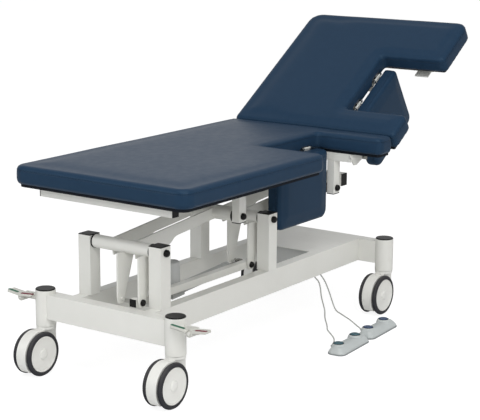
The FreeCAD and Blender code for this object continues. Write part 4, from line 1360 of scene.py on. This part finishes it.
@dataclass
class FootSwitch:
    """One floor switch: pillowed shell, rubber sole, black rings of painted shade round the
    buttons, domed buttons and cord boot.

    Attributes:
        paints: The materials.
        number: 1 or 2.
        centre: X and Y of its middle.
        entry: X and Y of the cord's end.
        button_finish: Finish of both buttons.
        angle: Turn about Z in degrees.
        lip: How far shell and sole stand out of the CAD solid.
        length: Length of the solid along its buttons.
        width: Its width.
        corner: Radius of its corners.
        boss_y: How far the buttons lie off the middle line.
        spacing: Distance between the buttons.
        button_radius: Radius of a button.
        button_top: Height of a button's crown.
        corner_steps: Steps round one corner.
    """

    paints: Paintbox
    number: int
    centre: tuple[float, float]
    entry: tuple[float, float]
    button_finish: str
    angle: float = 3.7
    lip: float = 0.0012
    length: float = 0.216
    width: float = 0.066
    corner: float = 0.024
    boss_y: float = 0.008
    spacing: float = 0.125
    button_radius: float = 0.017
    button_top: float = 0.0354
    corner_steps: int = 12

    def build(self) -> None:
        """Make every piece of the switch."""
        turn = Matrix.Translation((*self.centre, 0)) @ Matrix.Rotation(
            math.radians(self.angle), 4, "Z")
        self._lofted("sole", "sole_grey", turn,
                     ((0.004, 0.0, 0.0004), (0.0, 0.0, 0.0006), (0.0, 0.0, 0.0034),
                      (0.003, 0.0, 0.0046)))
        self._lofted("shell", "switch_shell", turn,
                     ((0.003, 0.0, 0.0030), (0.0012, 0.0, 0.0056), (0.0024, 0.0, 0.0090),
                      (0.0070, 0.0018, 0.0160), (0.0115, 0.0042, 0.0215),
                      (0.0150, 0.0066, 0.0252), (0.0185, 0.0080, 0.0268)),
                     "foot_switch_%d" % self.number)
        for index, side in ((1, -1), (2, 1)):
            self._button(index, turn @ Vector((side * self.spacing / 2, self.boss_y, 0)))
        self._boot()
        LOG.info("finished foot switch %d", self.number)

    def _lofted(
        self,
        tag: str,
        finish: str,
        turn: Matrix,
        rings: Sequence[tuple[float, float, float]],
        node: str | None = None,
    ) -> None:
        """Loft a closed form through rounded outlines.

        Args:
            tag: Name ending.
            finish: Finish of the piece.
            turn: Where the switch stands.
            rings: Inset, extra inset of the near side and height of each outline.
            node: CAD node that the piece stands for, if it hides one.
        """

        def fill(work: bmesh.types.BMesh) -> None:
            """Skin the outlines from the lowest to the highest and close both ends."""
            loops = []
            for inset, lean, height in rings:
                along = self.length / 2 + self.lip - inset
                across = self.width / 2 + self.lip - inset
                walk = self._ring(along, lean - across, across, max(self.corner - inset, 0.006))
                loops.append([work.verts.new(turn @ Vector((x, y, height))) for x, y in walk])
            for low_loop, high_loop in zip(loops, loops[1:]):
                for k in range(len(low_loop)):
                    nxt = (k + 1) % len(low_loop)
                    work.faces.new((low_loop[k], low_loop[nxt], high_loop[nxt], high_loop[k]))
            work.faces.new(loops[0][::-1])
            work.faces.new(loops[-1])

        piece = mesh_from("foot_switch_%d_%s" % (self.number, tag), fill, self.paints[finish], 60.0)
        settle(piece, "base", node)

    def _ring(
        self, along: float, low: float, high: float, radius: float
    ) -> list[tuple[float, float]]:
        """Give a rounded rectangle with the same number of points at any size.

        Args:
            along: Half of its length.
            low: Y of its near side.
            high: Y of its far side.
            radius: Radius of its corners.

        Returns:
            Its points, anticlockwise.
        """
        x = along - radius
        centres = ((-x, low + radius), (x, low + radius), (x, high - radius), (-x, high - radius))
        points = []
        for index, (middle_x, middle_y) in enumerate(centres):
            for step in range(self.corner_steps + 1):
                angle = math.pi * (1.0 + 0.5 * index + 0.5 * step / self.corner_steps)
                points.append((middle_x + radius * math.cos(angle),
                               middle_y + radius * math.sin(angle)))
        return points

    def _button(self, index: int, spot: Vector) -> None:
        """Make a boss, a black ring that paints the shade of the gap round the button, and the
        domed button on it.

        Args:
            index: 1 or 2.
            spot: Middle of the button on the floor plane.
        """
        place = Matrix.Translation(spot)
        r = self.button_radius
        top = self.button_top
        boss = [(0.0, 0.018), (0.0265, 0.018), (0.0262, 0.0215), (0.0240, 0.0262),
                (0.0222, 0.0302), (0.0205, 0.0318), (0.0186, 0.0320), (0.0182, 0.0262),
                (0.0, 0.0262)]
        # Painted shade: a black ring stands where the switch has only the shaded gap round the
        # button.
        gasket = [(r - 0.0002, 0.0295), (0.0196, 0.0300), (0.0196, 0.0324), (0.0184, 0.0334),
                  (r + 0.0004, 0.0330), (r - 0.0002, 0.0295)]
        dome = [(0.0, 0.0300), (r, 0.0300), (r, top - 0.0030), (r - 0.0006, top - 0.0014),
                (r - 0.0020, top - 0.0004), (r - 0.0050, top), (r - 0.0072, top - 0.0003),
                (r - 0.0090, top - 0.0010), (0.0, top - 0.0012)]
        names = (self.number, index)
        for tag, profile, finish, body, node in (
            ("boss", boss, "switch_shell", "base", None),
            # black ring of painted shade for the gap round the button
            ("gasket", gasket, "black_plastic", "base", None),
            ("dome", dome, self.button_finish, "button_%d_%d" % names,
             "foot_switch_%d_button_%d" % names),
        ):

            def turned(work: bmesh.types.BMesh) -> None:
                """Turn the profile about the button's axis."""
                add_lathe(work, profile, place, 48)

            piece = mesh_from("foot_switch_%d_%s_%d" % (self.number, tag, index), turned,
                              self.paints[finish], 50.0)
            settle(piece, body, node)

    def _boot(self) -> None:
        """Make the ribbed boot where the cord goes in."""
        turn = math.radians(self.angle)
        axis = Vector((-math.sin(turn), math.cos(turn), 0.0))
        place = axis_frame(Vector((*self.entry, 0.009)), axis)

        def boot(work: bmesh.types.BMesh) -> None:
            """Turn a sleeve with five ribs that get smaller."""
            profile = [(0.0, -0.008), (0.0052, -0.008), (0.0052, 0.001)]
            for k in range(5):
                low = 0.001 + k * 0.0034
                wide = 0.0050 - k * 0.0004
                profile += [(wide, low + 0.0004), (wide, low + 0.0022),
                            (wide - 0.0009, low + 0.0026), (wide - 0.0009, low + 0.0034)]
            profile += [(0.0028, 0.0185), (0.0, 0.0185)]
            add_lathe(work, profile, place, 20)

        relief = mesh_from("foot_switch_%d_boot" % self.number, boot, self.paints["cord_grey"])
        settle(relief, "base")


# Cords


@dataclass
class SwitchCord:
    """One foot switch cord on a single smooth spline."""

    paints: Paintbox
    number: int
    points: tuple[tuple[float, float, float], ...]
    length: float
    diameter: float = 0.005

    def build(self) -> None:
        name = "foot_switch_%d_lead" % self.number
        curve = bpy.data.curves.new(name, "CURVE")
        curve.dimensions = "3D"
        curve.bevel_depth = self.diameter / 2
        curve.bevel_resolution = 4
        curve.use_fill_caps = True
        spline = curve.splines.new("NURBS")
        spline.points.add(len(self.points) - 1)
        for spot, place in zip(spline.points, self.points):
            spot.co = (place[0] * MM, place[1] * MM, place[2] * MM, 1.0)
        spline.order_u = 3
        spline.use_endpoint_u = True
        spline.resolution_u = 10
        curve.materials.append(self.paints["cord_grey"])
        piece = bpy.data.objects.new(name, curve)
        bpy.context.scene.collection.objects.link(piece)
        settle(piece, "base", "foot_switch_cord_%d" % self.number)
        LOG.info("laid cord %d", self.number)


CORD_1 = (
    (404.0, -104.0, 186.0), (405.0, -104.5, 170.0), (424.0, -106.0, 150.0),
    (450.0, -108.0, 128.0), (458.0, -110.0, 102.0), (459.0, -113.0, 70.0),
    (469.0, -117.0, 36.0), (472.0, -123.0, 11.0), (451.0, -136.0, 3.3),
    (418.0, -157.0, 3.0), (382.0, -183.0, 3.2), (334.0, -220.0, 3.0),
    (290.0, -247.0, 3.2), (260.0, -279.0, 3.0), (232.0, -308.0, 3.2),
    (202.0, -333.0, 3.0), (166.0, -352.0, 3.8), (140.0, -363.0, 6.0),
    (125.98, -374.02, 8.0), (119.98, -388.02, 9.0),
)
CORD_2 = (
    (446.0, -104.0, 186.0), (447.0, -104.5, 172.0), (464.0, -105.5, 152.0),
    (488.0, -107.0, 128.0), (506.0, -110.0, 98.0), (519.0, -114.0, 68.0),
    (527.0, -120.0, 38.0), (526.0, -132.0, 12.0), (513.0, -152.0, 3.3),
    (498.0, -178.0, 3.0), (474.0, -212.0, 3.2), (448.0, -251.0, 3.0),
    (415.0, -290.0, 3.2), (388.0, -322.0, 3.4), (366.0, -346.0, 5.0),
    (353.98, -359.02, 8.0), (347.98, -373.02, 9.0),
)


# Studio


@dataclass(frozen=True)
class Lamp:
    """One square soft lamp: its place, side, power in watts and colour."""

    name: str
    place: tuple[float, float, float]
    size: float
    power: float
    colour: Colour

    def hang(self, target: Vector) -> None:
        """Put the lamp in the scene and aim it.

        Args:
            target: Point that it looks at.
        """
        data = bpy.data.lights.new(self.name, "AREA")
        data.energy = self.power
        data.color = self.colour
        data.size = self.size
        lamp = bpy.data.objects.new(self.name, data)
        lamp.location = self.place
        lamp.rotation_euler = (target - Vector(self.place)).to_track_quat("-Z", "Y").to_euler()
        bpy.context.scene.collection.objects.link(lamp)


@dataclass
class Studio:
    """Camera, floor and soft light."""

    lamps: tuple[Lamp, ...] = (
        Lamp("key", (-2.6, -4.2, 3.6), 3.2, 118.0, (1.0, 0.99, 0.975)),
        Lamp("fill", (-4.6, 2.4, 2.4), 3.0, 46.0, (0.95, 0.975, 1.0)),
        Lamp("top", (-1.4, -0.8, 4.6), 3.6, 72.0, (1.0, 1.0, 1.0)),
    )
    lamp_target: tuple[float, float, float] = (0.1, 0.0, 0.45)
    floor_radius: float = 40.0
    focal_px: float = 1495.6
    width_px: float = 480.0
    sensor: float = 36.0
    azimuth: float = -54.77
    elevation: float = 12.44
    roll: float = 0.33
    position: tuple[float, float, float] = (-4.195, -3.020, 1.612)

    def camera(self) -> None:
        """Stand the camera where the photograph was taken from."""
        turn = math.radians(self.azimuth)
        tip = math.radians(self.elevation)
        roll = math.radians(self.roll)
        forward = Vector((-math.sin(turn) * math.cos(tip), math.cos(turn) * math.cos(tip),
                          -math.sin(tip)))
        right = Vector((math.cos(turn), math.sin(turn), 0))
        up = right.cross(forward)
        x_axis = right * math.cos(roll) + up * math.sin(roll)
        y_axis = up * math.cos(roll) - right * math.sin(roll)
        data = bpy.data.cameras.new("camera")
        data.sensor_fit = "HORIZONTAL"
        data.sensor_width = self.sensor
        data.lens = self.focal_px / self.width_px * self.sensor
        data.clip_end = 100.0
        camera = bpy.data.objects.new("camera", data)
        camera.matrix_world = Matrix((
            (x_axis.x, y_axis.x, -forward.x, self.position[0]),
            (x_axis.y, y_axis.y, -forward.y, self.position[1]),
            (x_axis.z, y_axis.z, -forward.z, self.position[2]),
            (0, 0, 0, 1),
        ))
        bpy.context.scene.collection.objects.link(camera)
        bpy.context.scene.camera = camera

    def light(self) -> None:
        """Hang the lamps and set the pale surroundings."""
        for lamp in self.lamps:
            lamp.hang(Vector(self.lamp_target))
        world = bpy.data.worlds.new("studio")
        bpy.context.scene.world = world
        world.use_nodes = True
        tree = world.node_tree
        back = tree.nodes["Background"]
        back.inputs["Color"].default_value = (1.0, 1.0, 1.0, 1.0)
        path = add_node(tree, "ShaderNodeLightPath")
        spot = add_node(tree, "ShaderNodeTexCoord")
        toward = add_node(tree, "ShaderNodeVectorMath", {1: (0.82, 0.57, 0.0)},
                          operation="DOT_PRODUCT")
        sheen = add_node(tree, "ShaderNodeMapRange",
                         {"From Min": 0.2, "From Max": 0.9, "To Min": 0.3, "To Max": 0.66},
                         interpolation_type="SMOOTHSTEP")
        clear = add_node(tree, "ShaderNodeMath", operation="MAXIMUM")
        gloss = add_node(tree, "ShaderNodeMix", {"A": 0.5})
        level = add_node(tree, "ShaderNodeMix", {"B": 1.0})
        wire(
            tree,
            (spot, "Generated", toward, 0),
            (toward, "Value", sheen, "Value"),
            (path, "Is Glossy Ray", gloss, "Factor"),
            (sheen, "Result", gloss, "B"),
            (path, "Is Camera Ray", clear, 0),
            (path, "Is Transmission Ray", clear, 1),
            (clear, 0, level, "Factor"),
            (gloss, "Result", level, "A"),
            (level, "Result", back, "Strength"),
        )

    def floor(self) -> None:
        """Lay a pale floor that keeps the table's shadow."""
        material = bpy.data.materials.new("pale_floor")
        material.use_nodes = True
        tree = material.node_tree
        shader = tree.nodes["Principled BSDF"]
        shader.inputs["Base Color"].default_value = (0.8, 0.8, 0.8, 1.0)
        shader.inputs["Roughness"].default_value = 0.9
        shader.inputs["Specular IOR Level"].default_value = 0.1
        matte = add_node(tree, "ShaderNodeBsdfDiffuse", {"Color": (0.3, 0.3, 0.3, 1.0)})
        glow = add_node(tree, "ShaderNodeEmission")
        glare = add_node(tree, "ShaderNodeMath", {1: 0.58, 2: 0.28}, operation="MULTIPLY_ADD")
        path = add_node(tree, "ShaderNodeLightPath")
        seen = add_node(tree, "ShaderNodeMath", operation="MAXIMUM")
        add = add_node(tree, "ShaderNodeAddShader")
        mix = add_node(tree, "ShaderNodeMixShader")
        out = tree.nodes["Material Output"]
        wire(
            tree,
            (path, "Is Camera Ray", glare, 0),
            (glare, 0, glow, "Strength"),
            (matte, 0, add, 0),
            (glow, 0, add, 1),
            (path, "Is Camera Ray", seen, 0),
            (path, "Is Glossy Ray", seen, 1),
            (seen, 0, mix, 0),
            (shader, 0, mix, 1),
            (add, 0, mix, 2),
            (mix, 0, out, "Surface"),
        )

        def disc(work: bmesh.types.BMesh) -> None:
            """Fill one large circle."""
            bmesh.ops.create_circle(work, cap_ends=True, segments=96, radius=self.floor_radius)

        mesh_from("floor", disc, material)

    def build(self) -> None:
        """Set up the whole studio."""
        self.camera()
        self.light()
        self.floor()
        bpy.context.scene.view_settings.view_transform = "Standard"
        LOG.info("studio ready")


CASTERS = {
    "foot_near": (-0.650, -0.273),
    "foot_far": (-0.650, 0.273),
    "head_near": (0.650, -0.273),
    "head_far": (0.650, 0.273),
}


def main() -> None:
    """Build the table's looks piece by piece."""
    logging.basicConfig(level=logging.INFO, format="%(name)s: %(message)s")
    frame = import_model()
    effects = Effects()
    paints = Paintbox(effects)
    repeater = PathRepeater()
    Studio().build()
    SwitchCord(paints, 1, CORD_1, 0.640).build()
    SwitchCord(paints, 2, CORD_2, 0.502).build()
    paints.dress_nodes(frame)
    Upholstery(paints, repeater).build(frame)
    for name, place in CASTERS.items():
        TwinCaster(paints, name, place).build()
    BrakePedal(paints, repeater, "near", -1).build()
    BrakePedal(paints, repeater, "far", 1).build()
    FootSwitch(paints, 1, (0.160, -0.418), (0.11998, -0.38802), "button_teal").build()
    FootSwitch(paints, 2, (0.388, -0.403), (0.34798, -0.37302), "button_blue").build()


if __name__ == "__main__":
    main()
